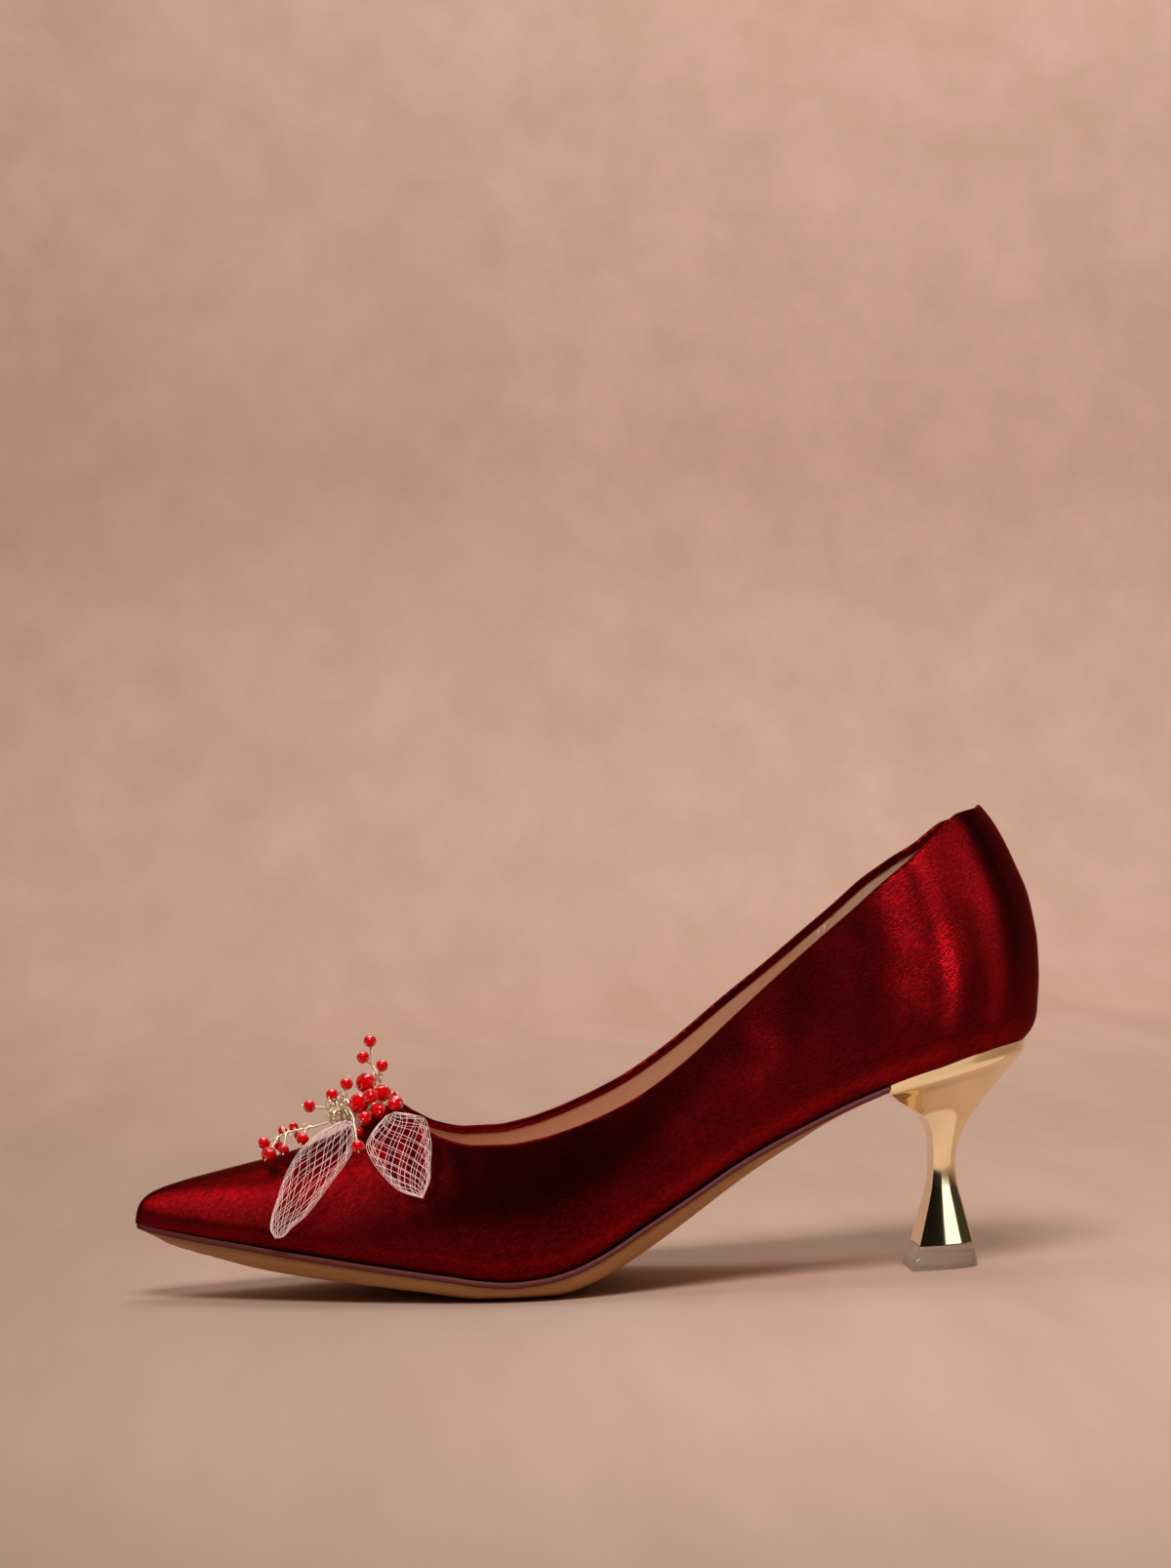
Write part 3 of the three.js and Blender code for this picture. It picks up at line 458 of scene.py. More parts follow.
def coated_lining():
    """Polyurethane-coated lining, rolled smooth: tan, faintly grained, and paler on the brushed heel grip."""
    grain_size = 0.0007  # the pressed grain is about 0.3 mm; coarser here so that it shows
    grip_from, grip_to = 0.058, 0.074
    material, tree, shader, coordinates = new_finish(
        "coated_lining", Roughness=0.5, IOR=1.5, Sheen_Weight=0.1)
    axes = add_node(tree, "SeparateXYZ", {0: coordinates})
    grip = add_node(tree, "MapRange", {0: axes.outputs[0], 1: grip_from, 2: grip_to})
    grain_space = add_node(tree, "Mapping", {
        "Vector": coordinates, "Scale": (grain_size,) * 3}, vector_type="TEXTURE")
    grain = add_node(tree, "TexNoise", {"Vector": grain_space.outputs[0], "Scale": 1.0, "Detail": 4.0})
    tone = add_node(tree, "Mix", {
        0: grip.outputs[0], 6: linear("dfab89"), 7: linear("e4c2a4")}, data_type="RGBA")
    spots = add_node(tree, "Mix", {
        0: grain.outputs[0], 6: tone.outputs[2], 7: linear("d9b59c"),
    }, data_type="RGBA", blend_type="MULTIPLY")
    soft = add_node(tree, "Mix", {
        0: 0.35, 6: tone.outputs[2], 7: spots.outputs[2]}, data_type="RGBA")
    tree.links.new(soft.outputs[2], shader.inputs["Base Color"])
    bump = add_node(tree, "Bump", {"Strength": 0.25, "Distance": 0.0001, "Height": grain.outputs[0]})
    tree.links.new(bump.outputs[0], shader.inputs["Normal"])
    return material


def painted_edge():
    """Cut edge of a fibre strip, sealed with plum edge paint: half matt, with a brushed unevenness."""
    stroke_size = (0.008, 0.0006, 0.0006)
    return varied_finish("painted_edge", stroke_size, 3.0, colours=("561a1f", "7c3536"),
                         relief=(0.3, 0.0001), Roughness=0.6, IOR=1.4)


def moulded_sole():
    """Thermoplastic rubber sole, moulded in tan: matt, with a fine eroded grain and faint streaks of flow."""
    grit_size = 0.0006  # the real grit is about 0.2 mm; coarser here so that it shows
    flow_size = 0.02
    material, tree, shader, coordinates = new_finish("moulded_sole", Roughness=0.55, IOR=1.5)
    grit_space = add_node(tree, "Mapping", {
        "Vector": coordinates, "Scale": (grit_size,) * 3}, vector_type="TEXTURE")
    grit = add_node(tree, "TexNoise", {"Vector": grit_space.outputs[0], "Scale": 1.0, "Detail": 3.0})
    flow_space = add_node(tree, "Mapping", {
        "Vector": coordinates, "Scale": (flow_size * 3, flow_size, flow_size / 4)}, vector_type="TEXTURE")
    flow = add_node(tree, "TexNoise", {"Vector": flow_space.outputs[0], "Scale": 1.0, "Detail": 2.0})
    tone = add_node(tree, "Mix", {
        0: flow.outputs[0], 6: linear("a8743f"), 7: linear("c2915c")}, data_type="RGBA")
    tree.links.new(tone.outputs[2], shader.inputs["Base Color"])
    bump = add_node(tree, "Bump", {"Strength": 0.3, "Distance": 0.00012, "Height": grit.outputs[0]})
    tree.links.new(bump.outputs[0], shader.inputs["Normal"])
    return material


def gold_plating():
    """Gold-coloured plating over a polished moulded core: a pale mirror, faintly wavy like the core."""
    wave_size = (0.007,) * 3
    return varied_finish("gold_plating", wave_size, 1.0, colours=("eed8aa", "f4e1b8"),
                         relief=(0.06, 0.0004), Metallic=1.0, Roughness=0.09)


def clear_moulding():
    """Clear thermoplastic urethane, injection-moulded: glassy, a little milky, with scuffs from the floor."""
    scuff_size = (0.004, 0.004, 0.0016)
    return varied_finish("clear_moulding", scuff_size, 4.0, gloss=(0.35, 0.7, 0.1, 0.24),
                         IOR=1.5, Transmission_Weight=0.62, Base_Color=linear("e8cfba"))


def nylon_net():
    """Nylon net thread, drawn and dyed pale pink: smooth, with a bright line of gloss along each thread."""
    tint_size = (0.004,) * 3
    return varied_finish("nylon_net", tint_size, 2.0, colours=("f6b9b2", "ffe8e0"), Roughness=0.3, IOR=1.53)


def gold_wire():
    """Brass craft wire, drawn and gilt: bright, with fine drawing lines that break its gloss."""
    drawing_size = (0.0006,) * 3  # real drawing lines are finer than 0.1 mm; coarser here to show
    return varied_finish("gold_wire", drawing_size, 2.0, gloss=(0.3, 0.7, 0.28, 0.45),
                         Metallic=1.0, Base_Color=linear("f7e7ca"))


def red_glass():
    """Pressed red glass, fire-polished: deep red and half clear, with small seeds that vary its glow."""
    seed_size = (0.0009,) * 3  # real seeds are about 0.3 mm; coarser here so that they show
    return varied_finish("red_glass", seed_size, 1.0, colours=("dc0007", "ff0610"), Roughness=0.03, IOR=1.5,
                         Specular_IOR_Level=0.1, Transmission_Weight=0.3)


# The upper

VAMP_STEPS = 72
QUARTER_STEPS = 150
RISE_STEPS = 30
RISE_CROWDING = 1.3  # power that brings the rows closer together towards the feather line
FOLD_RADIUS = UPPER_WALL / 2
FOLD_STEPS = 9
FOLD_DOWN = (0.4, 0.8, 1.1)  # how far down inside each row of the turned-in satin lies
LASTED_UNDER = [(0.5, 0.22), (3.0, 0.25)]  # rows of satin under the feather line: how far in and down
LINING_AT = 1.6  # the lining lies this far inside the outer face, just under the turned-in satin
LINING_DROP = 0.6  # how far the lining's edge stays below the rim
GRIP_SEAMS = (187.6, 189.8)
SEAM_ROWS = slice(3, -2)  # rows of the wall that a seam runs over
SEAM_INSET = 0.25
SEAM_RADIUS = 0.35


def upper_surface():
    """The outer face as one net of points over both sides, with the order of the points round its edges."""
    stations = np.concatenate([
        spread(0, THROAT_AT, VAMP_STEPS, round_start=True),
        spread(THROAT_AT, SHOE_LENGTH, QUARTER_STEPS, round_start=True, round_end=True)[1:],
    ])
    rises = np.linspace(0, 1, RISE_STEPS + 1) ** RISE_CROWDING
    net = np.stack([wall_points(stations[:, None], side, rises[None, :]) for side in (-1, 1)])
    index = np.arange(net.size // 3).reshape(net.shape[:3])
    index[1, :VAMP_STEPS + 1, -1] = index[0, :VAMP_STEPS + 1, -1]
    index[1, -1] = index[0, -1]
    index[:, 0] = index[0, 0, 0]
    used, index = np.unique(index, return_inverse=True)
    index = index.reshape(net.shape[:3])
    points = net.reshape(-1, 3)[used]
    faces = grid_faces(index[0]) + grid_faces(index[1], turned=True)
    topline = np.concatenate([index[0, VAMP_STEPS:, -1][::-1], index[1, VAMP_STEPS + 1:-1, -1]])
    feather = np.concatenate([index[0, :, 0], index[1, 1:-1, 0][::-1]])
    return points, faces, index, topline, feather


def build_upper(satin, lining):
    """The satin, turned in over the topline and lasted under at the feather line, and the lining in it."""
    points, faces, index, topline, feather = upper_surface()
    normals = vertex_normals(points, faces)
    edge_run = unit(np.roll(points[topline], -1, axis=0) - np.roll(points[topline], 1, axis=0))
    outward = normals[topline]
    off_edge = unit(np.cross(edge_run, outward))
    rim = points[topline] - FOLD_RADIUS * off_edge
    points[topline] = rim

    rows = [rim]
    for turn in np.linspace(0, math.pi, FOLD_STEPS + 1)[1:]:
        rows.append(rim + FOLD_RADIUS * ((math.cos(turn) - 1) * outward + math.sin(turn) * off_edge))
    for down in FOLD_DOWN:
        rows.append(rim - 2 * FOLD_RADIUS * outward - down * off_edge)
    cover = Joined()
    cover.add(points, faces)
    fold_index = len(points) + np.arange((len(rows) - 1) * len(topline)).reshape(len(rows) - 1, -1)
    cover.add(np.concatenate(rows[1:]), [])
    cover.faces += grid_faces(np.concatenate([topline[None], fold_index]), ring=True)
    turned_in = points[feather].copy()
    centre = np.stack([turned_in[:, 0], middle(turned_in[:, 0]), turned_in[:, 2]], axis=-1)
    step_in = unit(centre - turned_in) * np.array([1, 1, 0])
    under = [turned_in + run * step_in - (0, 0, down) for run, down in LASTED_UNDER]
    under_index = cover.count + np.arange(len(under) * len(feather)).reshape(len(under), -1)
    cover.add(np.concatenate(under), [])
    cover.faces += grid_faces(np.concatenate([feather[None], under_index]), ring=True)
    satin_upper = piece("satin_upper", np.concatenate(cover.points), cover.faces, satin, ["upper"])

    inside = points - LINING_AT * normals
    inside[topline] -= LINING_DROP * off_edge
    piece("lining", inside, [face[::-1] for face in faces], lining)
    return satin_upper, inside, index


def tube(points, radius, sides=6):
    """Points and faces of a closed round rod through the given points."""
    points = np.asarray(points, float)
    runs = unit(np.gradient(points, axis=0))
    lead = np.eye(3)[np.argmin(np.abs(runs[0]))]
    turns = np.arange(sides) * 2 * math.pi / sides
    rings = []
    for point, run in zip(points, runs):
        lead = unit(lead - run * np.dot(lead, run))
        other = np.cross(run, lead)
        rings.append(point + radius * (np.cos(turns)[:, None] * lead + np.sin(turns)[:, None] * other))
    index = np.arange(len(points) * sides).reshape(len(points), sides)
    faces = grid_faces(index, ring=True)
    faces += [tuple(index[0].tolist()), tuple(index[-1][::-1].tolist())]
    return np.concatenate(rings), faces


def build_grip_seams(inside, index, lining):
    """Two fine ridges on each side of the lining, where the heel grip is sewn on."""
    seams = Joined()
    for side, inward in ((0, 1), (1, -1)):
        for seam_at in GRIP_SEAMS:
            station = int(np.argmin(np.abs(inside[index[side, :, 0], 0] - seam_at)))
            line = inside[index[side, station, SEAM_ROWS]]
            seams.add(*tube(line + (0, inward * SEAM_INSET, 0), SEAM_RADIUS))
    piece("grip_seams", np.concatenate(seams.points), seams.faces, lining)


# Sock, rand and sole

SEAT_GAP = 0.4 * GAP  # the visible pieces close part of the gap between the solids
SOCK = dict(start=0.4, end=SHOE_LENGTH - 0.2, stations=120, bulge=0.2, steps=6)
RAND = dict(start=0.05, end=BREAST_AT, stations=160, bulge=0.3, steps=8)
SOLE_START = 0.1
SOLE_STATIONS = 150
HULL_STEPS = 14
TOE_GROOVES = [9, 13.5, 18.5]
BALL_GROOVES = [62 + 4.6 * k for k in range(12)]
TREAD_GROOVES = np.array(TOE_GROOVES + BALL_GROOVES)
GROOVE_FLOOR = 0.63  # half the width of a groove's floor
GROOVE_MOUTH = 0.91  # half the width of its mouth
GROOVE_DEPTH = 0.7
GROOVE_FROM = 0.93  # share of the hull's depth from which it is grooved


def plate(stations, edge, low, high, bulge, steps):
    """Rings of a flat piece along the shoe: up its outer edge and down its inner one."""
    rings = []
    for at in stations:
        ring = []
        for side in (-1, 1):
            x, y = edge_point(at, side, edge)
            in_x, in_y = inward_from(at, side)
            t = np.linspace(0, 1, steps + 1)
            swell = bulge * np.sin(math.pi * t)
            up = low(x) + (high(x) - low(x)) * t
            half = np.stack([x - in_x * swell, y - in_y * swell, up], axis=-1)
            ring.append(half if side < 0 else half[::-1])
        rings.append(np.concatenate(ring))
    return np.array(rings)


def loft_faces(rings, turned=False):
    """Faces of a body through closed rings, with its ends closed."""
    count, size = rings.shape[:2]
    index = np.arange(count * size).reshape(count, size)
    faces = grid_faces(index, ring=True, turned=turned)
    ends = [tuple(index[0].tolist()), tuple(index[-1][::-1].tolist())]
    return faces + (ends if not turned else [end[::-1] for end in ends])


def build_sock(sock):
    """The insole with its sock, lying on the feather line."""
    stations = spread(SOCK["start"], SOCK["end"], SOCK["stations"], round_start=True, round_end=True)

    def top(at):
        return seam_up(at) + INSOLE_THICKNESS

    rings = plate(stations, INSOLE_EDGE, seam_up, top, SOCK["bulge"], SOCK["steps"])
    piece("sock", rings.reshape(-1, 3), loft_faces(rings), sock, ["insole"], sharp_angle=50)


def build_rand(edge_paint):
    """The edge strip between upper and outsole, with a rounded edge."""
    stations = spread(RAND["start"], RAND["end"], RAND["stations"], round_start=True)

    def top(at):
        return seam_up(at) - SEAT_GAP

    def low(at):
        return seam_up(at) - RAND_THICKNESS - 2 * GAP + SEAT_GAP

    rings = plate(stations, RAND_EDGE, low, top, RAND["bulge"], RAND["steps"])
    piece("rand_strip", rings.reshape(-1, 3), loft_faces(rings), edge_paint, ["rand"],
          sharp_angle=60)


def build_outsole(rubber):
    """The outsole, with cross grooves pressed in the tread under toe and ball."""
    places = [spread(SOLE_START, OUTSOLE_END, SOLE_STATIONS, round_start=True)]
    for groove in TREAD_GROOVES:
        places.append(groove + np.array([-GROOVE_MOUTH, -GROOVE_FLOOR, GROOVE_FLOOR, GROOVE_MOUTH]))
    turn = np.linspace(0, math.pi / 2, HULL_STEPS + 1)
    tread = GROOVE_DEPTH * soft_step(np.sin(turn), GROOVE_FROM, 1.0)
    rings = []
    for at in np.unique(np.concatenate(places)):
        cut = float(np.max(1 - soft_step(np.abs(at - TREAD_GROOVES), GROOVE_FLOOR, GROOVE_MOUTH)))
        left, right = edge_point(at, -1, OUTSOLE_EDGE), edge_point(at, 1, OUTSOLE_EDGE)
        centre = (left[1] + right[1]) / 2
        ring = []
        for side, (x, y) in ((-1, left), (1, right)):
            flat = (y - centre) * sole_flat(at)
            high = seam_up(x) - 2 * GAP - RAND_THICKNESS
            low = np.minimum(sole_low(at), high)
            across = centre + flat + (y - centre - flat) * np.cos(turn)
            up = high - (high - low) * np.sin(turn) + cut * tread
            half = np.stack([np.full_like(turn, x), across, up], axis=-1)
            ring.append(half if side < 0 else half[::-1])
        rings.append(np.concatenate(ring))
    rings = np.array(rings)
    piece("moulded_outsole", rings.reshape(-1, 3), loft_faces(rings, turned=True), rubber,
          ["outsole"], sharp_angle=45)


# Heel and lift

RING_SIDE = 28
BREAST_STEPS = 12
SEAT_STEPS = 4
NECK_STEPS = 84
LIFT_EDGE = dict(width=0.25, segments=2, from_angle=35)


def heel_ring(row, seat_share):
    """A ring from the breast along the outer side, round the back, up the inner side and over the breast."""
    share = np.sin(np.linspace(0, math.pi / 2, RING_SIDE + 1))
    at = row["front_at"] + (row["back_at"] - row["front_at"]) * share
    up = row["front_up"] + (row["back_up"] - row["front_up"]) * share
    up = up + seat_share * (seam_up(at) - SEAT_GAP - up)
    across = row["half"] * np.sqrt(1 - np.power(share, row["round"]))
    outer = np.stack([at, -across, up], axis=-1)
    inner = np.stack([at, across, up], axis=-1)[::-1][1:]
    t = np.linspace(0, 1, BREAST_STEPS + 1)[1:-1, None]
    return np.concatenate([outer, inner, inner[-1] + (outer[0] - inner[-1]) * t])


def build_heel(gold):
    """The heel: its seat follows the feather line, and its neck runs smoothly through the rows."""
    order = np.arange(len(HEEL["half"]))
    columns = {name: smooth_curve(order, HEEL[name]) for name in HEEL_COLUMNS}
    places = np.concatenate([
        np.linspace(0, 1, SEAT_STEPS + 1), np.linspace(1, order[-1], NECK_STEPS + 1)[1:]])
    rings = np.array([
        heel_ring({name: curve(k) for name, curve in columns.items()}, max(1 - k, 0.0)) for k in places])
    return piece("gold_heel", rings.reshape(-1, 3), loft_faces(rings), gold, ["heel"],
                 sharp_angle=48)


def build_lift(clear):
    """The clear lift under the heel, with its moulded edges rounded."""
    rows = [{name: TOP_PIECE[name][k] for name in HEEL_COLUMNS} for k in range(len(TOP_PIECE["half"]))]
    rings = np.array([heel_ring(row, 0.0) for row in rows])
    made = piece("clear_lift", rings.reshape(-1, 3), loft_faces(rings), clear, ["top_piece"],
                 sharp_angle=30)
    edge = made.modifiers.new("moulded_edge", "BEVEL")
    edge.width = LIFT_EDGE["width"] * MM
    edge.segments = LIFT_EDGE["segments"]
    edge.limit_method = "ANGLE"
    edge.angle_limit = math.radians(LIFT_EDGE["from_angle"])


# Leaves

NET_LAYERS = [(1, 15, 0.06), (-1, 7, 0.045)]  # side, threads each way, radius
THREAD_POINTS = 26
THREAD_REACH = 0.97  # share of the half width that the threads span
CORD_POINTS = 60
CORD_RADIUS = 0.06
CORDS = [(1.0, 0.3), (0.93, 0.8), (0.86, 1.0), (0.78, 1.0)]  # share of the half width, side
NET_CROSSING = 0.62  # share of the leaf's length over which a thread crosses it


def leaf_surface(rows):
    """Points of a leaf by the share of its length, the share of its half width and the side of its net."""
    columns = dict(zip(LEAF_COLUMNS, np.array(rows, float).T))
    order = np.arange(len(rows))
    curves = {name: smooth_curve(order, values) for name, values in columns.items()}
    end = len(rows) - 1

    def spine(u):
        return np.stack([curves["at"](u), curves["across"](u), curves["up"](u)], axis=-1)

    def point(share, v, layer):
        u = np.clip(share, 0, 1) * end
        run = unit(spine(np.minimum(u + LEAF_STEP, end)) - spine(np.maximum(u - LEAF_STEP, 0)))
        turn = np.radians(curves["face"](u))
        flat = math.sqrt(1 - LEAF_TURN ** 2)
        outward = np.stack([
            np.full_like(turn, LEAF_TURN), -np.cos(turn) * flat, np.sin(turn) * flat], axis=-1)
        sideways = unit(np.cross(outward, run))
        half = curves["half"](u)
        puff = LEAF_PUFF * (1 - v * v) * np.minimum(half / LEAF_PUFF_HALF, 1)
        off = LEAF_CUP * half * v * v + layer * (LEAF_EDGE + puff) / 2
        return spine(u) + sideways * (half * v)[:, None] + outward * off[:, None]
    return point


def build_leaf(node, rows, net):
    """A leaf of net: threads that cross it both ways on its front and back, bound by cords round the rim."""
    point = leaf_surface(rows)
    threads = Joined()
    for layer, lines, radius in NET_LAYERS:
        for way in (1, -1):
            for start in np.linspace(-NET_CROSSING, 1, lines + 2)[1:-1]:
                share = np.linspace(max(start, 0.0), min(start + NET_CROSSING, 1.0), THREAD_POINTS)
                v = way * (2 * (share - start) / NET_CROSSING - 1)
                threads.add(*tube(point(share, THREAD_REACH * v, layer), radius, sides=5))
    share = np.linspace(0, 1, CORD_POINTS)
    for edge in (1, -1):
        for inset, layer in CORDS:
            threads.add(*tube(point(share, np.full_like(share, edge * inset), layer), CORD_RADIUS))
    return piece(node + "_net", np.concatenate(threads.points), threads.faces, net, [node])


# Wires and beads

STRAND_RADIUS = 0.17
STRAND_OFFSET = 0.2
STRAND_SIDE = (0.31, 0.83, 0.46)  # a direction in which no twig runs
TWIST_PITCH = 1.7
SAMPLE_STEP = 0.22
PIN_RADIUS = 0.2
PIN_END = 0.35  # how far a pin stands out of its bead
# knot, number of curls of binding wire round it, how far they reach
BINDING = [("tangle", 30, 3.6), ("through", 12, 2.6), ("root", 8, 2.4), ("crown", 4, 1.5),
           ("twig_a", 3, 1.6), ("twig_c", 3, 1.5)]
CURL_RADIUS = 0.15
CURL_POINTS = 24
CURL_SWEEP = 1.7 * math.pi
CURL_LEAN = 2.4  # radians by which each curl leans away from the one before
CURL_SIZES = (0.35, 0.48, 0.61, 0.74)  # radii of the curls in turn, as shares of the reach
CURL_TILT, CURL_TIP = 0.3, 0.4  # how far a curl's plane is tilted out of the upright
CURL_DRIFT = (0.55, 0.33, 0.55)  # how far the curls lie off their knot, as shares of the reach
DRIFT_TURN = (1.7, 2.3, 1.1)  # radians from curl to curl, so that no two lie alike
BEAD_SIDE = (0.2, 0.5, 0.84)  # a direction in which no pin runs
BEAD_LENGTH = 0.94  # along the pin, as a share of the width
HOLE_ANGLE = 0.16  # how far a bead's hole reaches round from the pin
ROUND_BEAD = dict(sides=24, levels=16, skew=0)
CUT_BEAD = dict(sides=10, levels=6, skew=1)  # every other level is turned by half a facet


def through_points(points):
    """Points close together on a smooth line through the given ones."""
    points = np.asarray(points, float)
    if len(points) == 2:
        count = max(int(np.linalg.norm(points[1] - points[0]) / SAMPLE_STEP), 2)
        return points[0] + (points[1] - points[0]) * np.linspace(0, 1, count + 1)[:, None]
    padded = np.concatenate([[2 * points[0] - points[1]], points, [2 * points[-1] - points[-2]]])
    line = []
    for a, b, c, d in zip(padded, padded[1:], padded[2:], padded[3:]):
        count = max(int(np.linalg.norm(c - b) / SAMPLE_STEP), 2)
        t = np.linspace(0, 1, count, endpoint=False)[:, None]
        line.append(0.5 * (2 * b + (c - a) * t + (2 * a - 5 * b + 4 * c - d) * t ** 2
                           + (3 * b - a - 3 * c + d) * t ** 3))
    return np.concatenate(line + [points[-1:]])


def twisted_pair(line):
    """Two strands wound round each other along a line."""
    runs = unit(np.gradient(line, axis=0))
    gone = np.concatenate([[0], np.cumsum(np.linalg.norm(np.diff(line, axis=0), axis=1))])
    turn = 2 * math.pi * gone / TWIST_PITCH
    lead = unit(np.cross(runs, STRAND_SIDE))
    other = np.cross(runs, lead)
    offset = STRAND_OFFSET * (np.cos(turn)[:, None] * lead + np.sin(turn)[:, None] * other)
    return line + offset, line - offset


def knot_place(name):
    return np.array(KNOTS[name] if isinstance(name, str) else name, float)


def binding_curl(knot, reach, k):
    """The line of one curl of binding wire: most of a circle, with its own lean, size and place."""
    lean = CURL_LEAN * k
    turn = np.linspace(0, CURL_SWEEP, CURL_POINTS) + lean
    flat = unit(np.array([math.cos(lean), -math.sin(lean), CURL_TILT * math.cos(3 * lean)]))
    rise = unit(np.array([CURL_TIP * math.sin(lean), -CURL_TILT * math.cos(lean), 1.0]))
    ring = np.cos(turn)[:, None] * flat + np.sin(turn)[:, None] * rise
    swing = [math.cos(DRIFT_TURN[0] * k), math.sin(DRIFT_TURN[1] * k), math.sin(DRIFT_TURN[2] * k)]
    size = CURL_SIZES[k % len(CURL_SIZES)]
    return knot_place(knot) + reach * (np.multiply(CURL_DRIFT, swing) + size * ring)


def build_wires(wire):
    """The spray's twisted stems and twigs, the small loops of its binding, and the pin through each bead."""
    strands = Joined()
    for stem in STEMS:
        for strand in twisted_pair(through_points([knot_place(name) for name in stem])):
            strands.add(*tube(strand, STRAND_RADIUS))
    for at, across, up, radius, knot in BEADS:
        start, bead = knot_place(knot), np.array([at, across, up])
        way = unit(bead - start)
        for strand in twisted_pair(through_points([start, bead - way * radius])):
            strands.add(*tube(strand, STRAND_RADIUS))
        pin = through_points([bead - way * radius, bead + way * (radius + PIN_END)])
        strands.add(*tube(pin, PIN_RADIUS))
    for knot, count, reach in BINDING:
        for k in range(count):
            strands.add(*tube(binding_curl(knot, reach, k), CURL_RADIUS, sides=5))
    return piece("twisted_wires", np.concatenate(strands.points), strands.faces, wire,
                 ["wire_spray"])


def bead_rings(bead, way, radius, sides, levels, skew):
    """Rings of a bead along its pin, from hole to hole."""
    lead = unit(np.cross(way, BEAD_SIDE))
    other = np.cross(way, lead)
    turn = np.arange(sides) * 2 * math.pi / sides
    rings = []
    for level, polar in enumerate(np.linspace(HOLE_ANGLE, math.pi - HOLE_ANGLE, levels + 1)):
        turned = turn + skew * (level % 2) * math.pi / sides
        around = np.cos(turned)[:, None] * lead + np.sin(turned)[:, None] * other
        rings.append(bead + radius * (math.sin(polar) * around + BEAD_LENGTH * math.cos(polar) * way))
    return np.array(rings)


def build_beads(glass):
    """Beads threaded on their twigs: smooth round ones, and large ones cut in facets."""
    smooth, cut = Joined(), Joined()
    smooth_nodes, cut_nodes = [], []
    for k, (at, across, up, radius, knot) in enumerate(BEADS):
        bead = np.array([at, across, up])
        way = unit(bead - knot_place(knot))
        is_cut = radius > CUT_FROM_RADIUS
        rings = bead_rings(bead, way, radius, **(CUT_BEAD if is_cut else ROUND_BEAD))
        (cut if is_cut else smooth).add(rings.reshape(-1, 3), loft_faces(rings, turned=True))
        (cut_nodes if is_cut else smooth_nodes).append(f"bead_{k + 1:02d}")
    round_beads = piece("round_beads", np.concatenate(smooth.points), smooth.faces, glass,
                        smooth_nodes, sharp_angle=50)
    faceted = piece("cut_beads", np.concatenate(cut.points), cut.faces, glass, cut_nodes)
    faceted.data.polygons.foreach_set("use_smooth", [False] * len(faceted.data.polygons))
    return [round_beads, faceted]


# Studio

CAMERA_AT = (-0.0689, -0.9475, 0.1335)
CAMERA_YAW = math.radians(4.25)
CAMERA_ROLL = math.radians(1.97)
CAMERA_LENS = 108.87
SENSOR_WIDTH = 36.0


def place_camera():
    """The camera that was solved from the photo."""
    ahead = np.array([math.sin(CAMERA_YAW), math.cos(CAMERA_YAW), 0])
    level = np.array([math.cos(CAMERA_YAW), -math.sin(CAMERA_YAW), 0])
    upright = np.array([0, 0, 1.0])
    right = math.cos(CAMERA_ROLL) * level - math.sin(CAMERA_ROLL) * upright
    up = math.cos(CAMERA_ROLL) * upright + math.sin(CAMERA_ROLL) * level
    lens = bpy.data.cameras.new("photo_camera")
    lens.sensor_fit = "HORIZONTAL"
    lens.sensor_width = SENSOR_WIDTH
    lens.lens = CAMERA_LENS
    camera = bpy.data.objects.new("photo_camera", lens)
    rows = np.stack([right, up, -ahead, CAMERA_AT], axis=-1).tolist()
    camera.matrix_world = Matrix([*rows, (0, 0, 0, 1)])
    bpy.context.scene.collection.objects.link(camera)
    bpy.context.scene.camera = camera


def studio_paper():
    """Matt painted canvas, rolled on: pale warm beige with a soft cloudiness."""
    cloud_size = 0.045
    material, tree, shader, coordinates = new_finish("studio_paper", Roughness=0.85)
    cloud_space = add_node(tree, "Mapping", {
        "Vector": coordinates, "Scale": (cloud_size, 7 * cloud_size, cloud_size)}, vector_type="TEXTURE")
    clouds = add_node(tree, "TexNoise", {
        "Vector": cloud_space.outputs[0], "Scale": 1.0, "Detail": 8.0, "Roughness": 0.6})
    patches = add_node(tree, "MapRange", {0: clouds.outputs[0], 1: 0.3, 2: 0.7, 3: 0.0, 4: 1.0})
    tone = add_node(tree, "Mix", {
        0: patches.outputs[0], 6: linear("cba690"), 7: linear("d8b39e")}, data_type="RGBA")
    tree.links.new(tone.outputs[2], shader.inputs["Base Color"])
    return material


def black_felt():
    """Wool felt, dyed black: a flag that keeps light out of the gloss, with a faint nap."""
    nap_size = (0.004,) * 3  # the real nap is about 1 mm; coarser here so that it shows
    return varied_finish("black_felt", nap_size, 2.0, colours=("0a0808", "181212"), Roughness=1.0)


# the floor is cut near and far of the shoe, so that it is shaded flat between the cuts
FLOOR = dict(front=-2.0, near=-0.5, far=0.2, bend=1.05, radius=0.35, height=2.4, half=2.2)
BEND_STEPS = 12
FLAG = dict(left=-0.4, right=0.4, at=-0.4, height=0.25)
ROOM_COLOUR = "c9b8aa"
ROOM_STRENGTH = 0.08
LAMP_AXIS = (0, 1, 0.001)  # the width of every lamp lies square to this
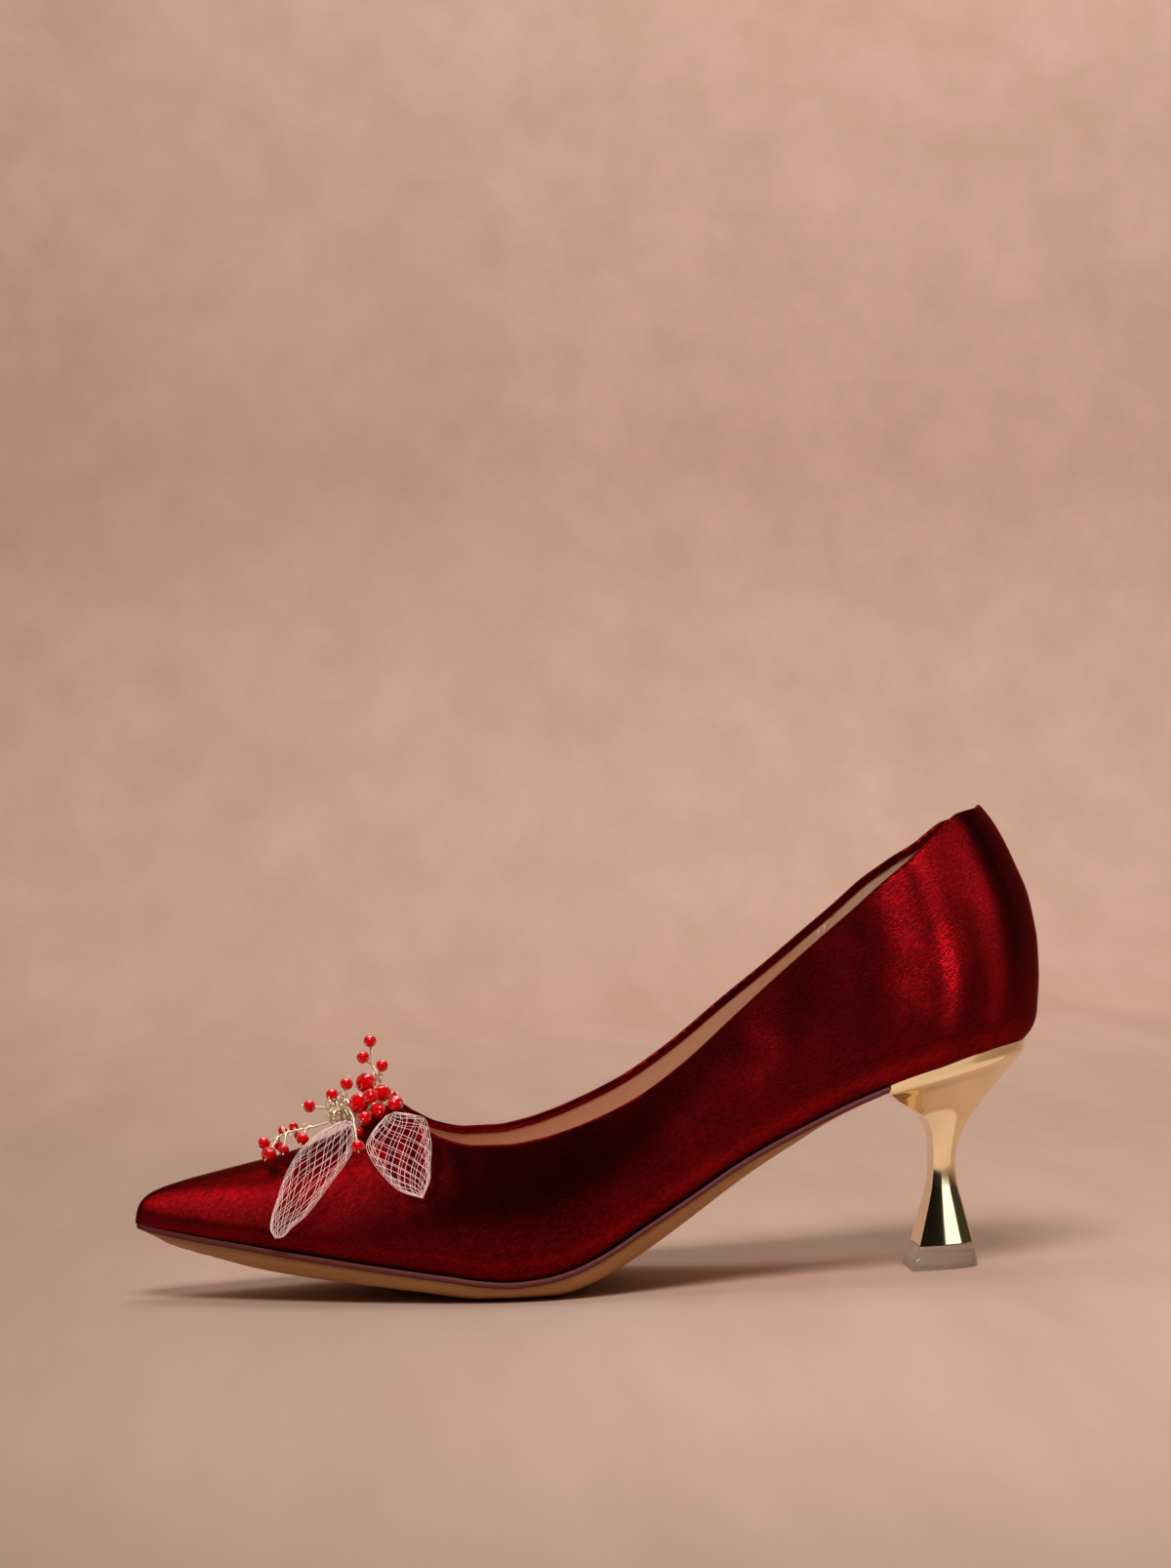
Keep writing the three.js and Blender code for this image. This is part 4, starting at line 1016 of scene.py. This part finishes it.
# name, place, point it looks at, width, depth, watts, spread in degrees, the pieces it is kept on or off
LIGHTS = [
    ("key_softbox", (-0.05, -0.62, 0.9), (0.16, -0.08, 0.0), 0.45, 0.35, 1.1, 60, "satin", "EXCLUDE"),
    ("top_softbox", (-0.05, 0.25, 1.15), (0.0, 0.1, 0.0), 1.0, 0.7, 3.8, 180, None, None),
    ("wall_wash", (0.4, 0.35, 1.9), (0.4, 1.4, 0.75), 1.4, 0.5, 13.5, 110, "satin", "EXCLUDE"),
    ("toe_softbox", (-0.45, -0.1, 0.34), (-0.1, -0.01, 0.03), 0.4, 0.45, 1.35, 180, "satin", "INCLUDE"),
    ("quarter_softbox", (0.147, -0.339, 0.258), (0.077, -0.02, 0.089), 0.1, 0.06, 0.0058, 20,
     "satin", "INCLUDE"),
    ("topline_softbox", (0.2, -0.35, 0.49), (0.08, -0.02, 0.09), 0.5, 0.06, 0.45, 180, "satin", "INCLUDE"),
    ("counter_softbox", (0.47, -0.35, 0.3), (0.105, 0.0, 0.095), 0.32, 0.2, 0.36, 180, "satin", "INCLUDE"),
    ("back_softbox", (0.55, 0.25, 0.2), (0.11, 0.0, 0.09), 0.5, 0.5, 0.13, 180, "satin", "INCLUDE"),
    ("waist_card", (0.0, -0.15, 0.004), (0.0, -0.15, 1.0), 0.3, 0.18, 0.055, 180, "satin", "INCLUDE"),
    ("heel_softbox", (0.64, -0.45, 0.235), (0.095, 0.0, 0.235), 0.45, 0.4, 1.0, 180, "heel", "INCLUDE"),
    ("heel_card", (0.12, -0.2, 0.004), (0.12, -0.2, 1.0), 0.36, 0.38, 0.09, 180, "heel", "INCLUDE"),
    ("net_softbox", (-0.25, -0.5, 0.45), (-0.06, -0.015, 0.045), 0.2, 0.2, 2.6, 180, "net", "INCLUDE"),
    ("wire_softbox", (-0.1, -0.5, 0.5), (-0.06, -0.01, 0.05), 0.25, 0.25, 4.0, 180, "wires", "INCLUDE"),
    ("bead_spark", (-0.2, -0.5, 0.4), (-0.06, -0.015, 0.05), 0.04, 0.04, 0.8, 180, "beads", "INCLUDE"),
]


def stage_mesh(name, points, faces, material):
    """A mesh of the studio."""
    made = new_mesh(name, points, faces, material)
    return made


def build_floor():
    """A floor that sweeps up into a wall."""
    bend, radius = FLOOR["bend"], FLOOR["radius"]
    profile = [(FLOOR[mark], 0.0) for mark in ("front", "near", "far", "bend")]
    for turn in np.linspace(0, math.pi / 2, BEND_STEPS + 1)[1:]:
        profile.append((bend + radius * math.sin(turn), radius * (1 - math.cos(turn))))
    profile.append((bend + radius, FLOOR["height"]))
    points = [(x, y, z) for y, z in profile for x in (-FLOOR["half"], FLOOR["half"])]
    faces = [(2 * k, 2 * k + 1, 2 * k + 3, 2 * k + 2) for k in range(len(profile) - 1)]
    stage_mesh("studio_floor", points, faces, studio_paper())


def build_flag():
    """A black flag in front of the shoe that is seen only in gloss."""
    left, right, high = FLAG["left"], FLAG["right"], FLAG["height"]
    corners = [(x, FLAG["at"], z) for x, z in ((left, 0.0), (right, 0.0), (right, high), (left, high))]
    flag = stage_mesh("dark_flag", corners, [(0, 1, 2, 3)], black_felt())
    flag.visible_camera = False
    flag.visible_diffuse = False
    flag.visible_shadow = False


def build_lights(pieces):
    """Soft lights; where a group of pieces is named, the lamp is kept on it or off it."""
    for name, place, aim, width, depth, power, spread_angle, group, state in LIGHTS:
        lamp = bpy.data.lights.new(name, "AREA")
        lamp.shape = "RECTANGLE"
        lamp.size = width
        lamp.size_y = depth
        lamp.energy = power
        lamp.spread = math.radians(spread_angle)
        stand = bpy.data.objects.new(name, lamp)
        back = unit(np.subtract(place, aim))
        right = unit(np.cross(LAMP_AXIS, back))
        rows = np.stack([right, np.cross(back, right), back, place], axis=-1).tolist()
        stand.matrix_world = Matrix([*rows, (0, 0, 0, 1)])
        stand.visible_camera = False
        bpy.context.scene.collection.objects.link(stand)
        if group:
            reach = bpy.data.collections.new(name + "_reach")
            for made in pieces[group]:
                reach.objects.link(made)
            stand.light_linking.receiver_collection = reach
            for member in reach.collection_objects:
                member.light_linking.link_state = state


def light_room():
    """The faint light of the room, and colours shown as they are."""
    world = bpy.data.worlds.new("studio_room")
    world.use_nodes = True
    background = world.node_tree.nodes["Background"]
    background.inputs["Color"].default_value = linear(ROOM_COLOUR)
    background.inputs["Strength"].default_value = ROOM_STRENGTH
    bpy.context.scene.world = world
    bpy.context.scene.view_settings.view_transform = "Standard"


def dress_shoe():
    """Makes every piece of the shoe and gives back those that a lamp is kept on or off."""
    satin, lining = woven_satin(), coated_lining()
    satin_upper, inside, index = build_upper(satin, lining)
    build_grip_seams(inside, index, lining)
    build_sock(lining)
    build_rand(painted_edge())
    build_outsole(moulded_sole())
    gold_heel = build_heel(gold_plating())
    build_lift(clear_moulding())
    net = nylon_net()
    leaves = [build_leaf(node, rows, net) for node, rows in LEAVES.items()]
    wires = build_wires(gold_wire())
    beads = build_beads(red_glass())
    return {"satin": [satin_upper], "heel": [gold_heel], "net": leaves, "wires": [wires], "beads": beads}


place_camera()
lit_pieces = dress_shoe()
build_floor()
build_flag()
build_lights(lit_pieces)
light_room()
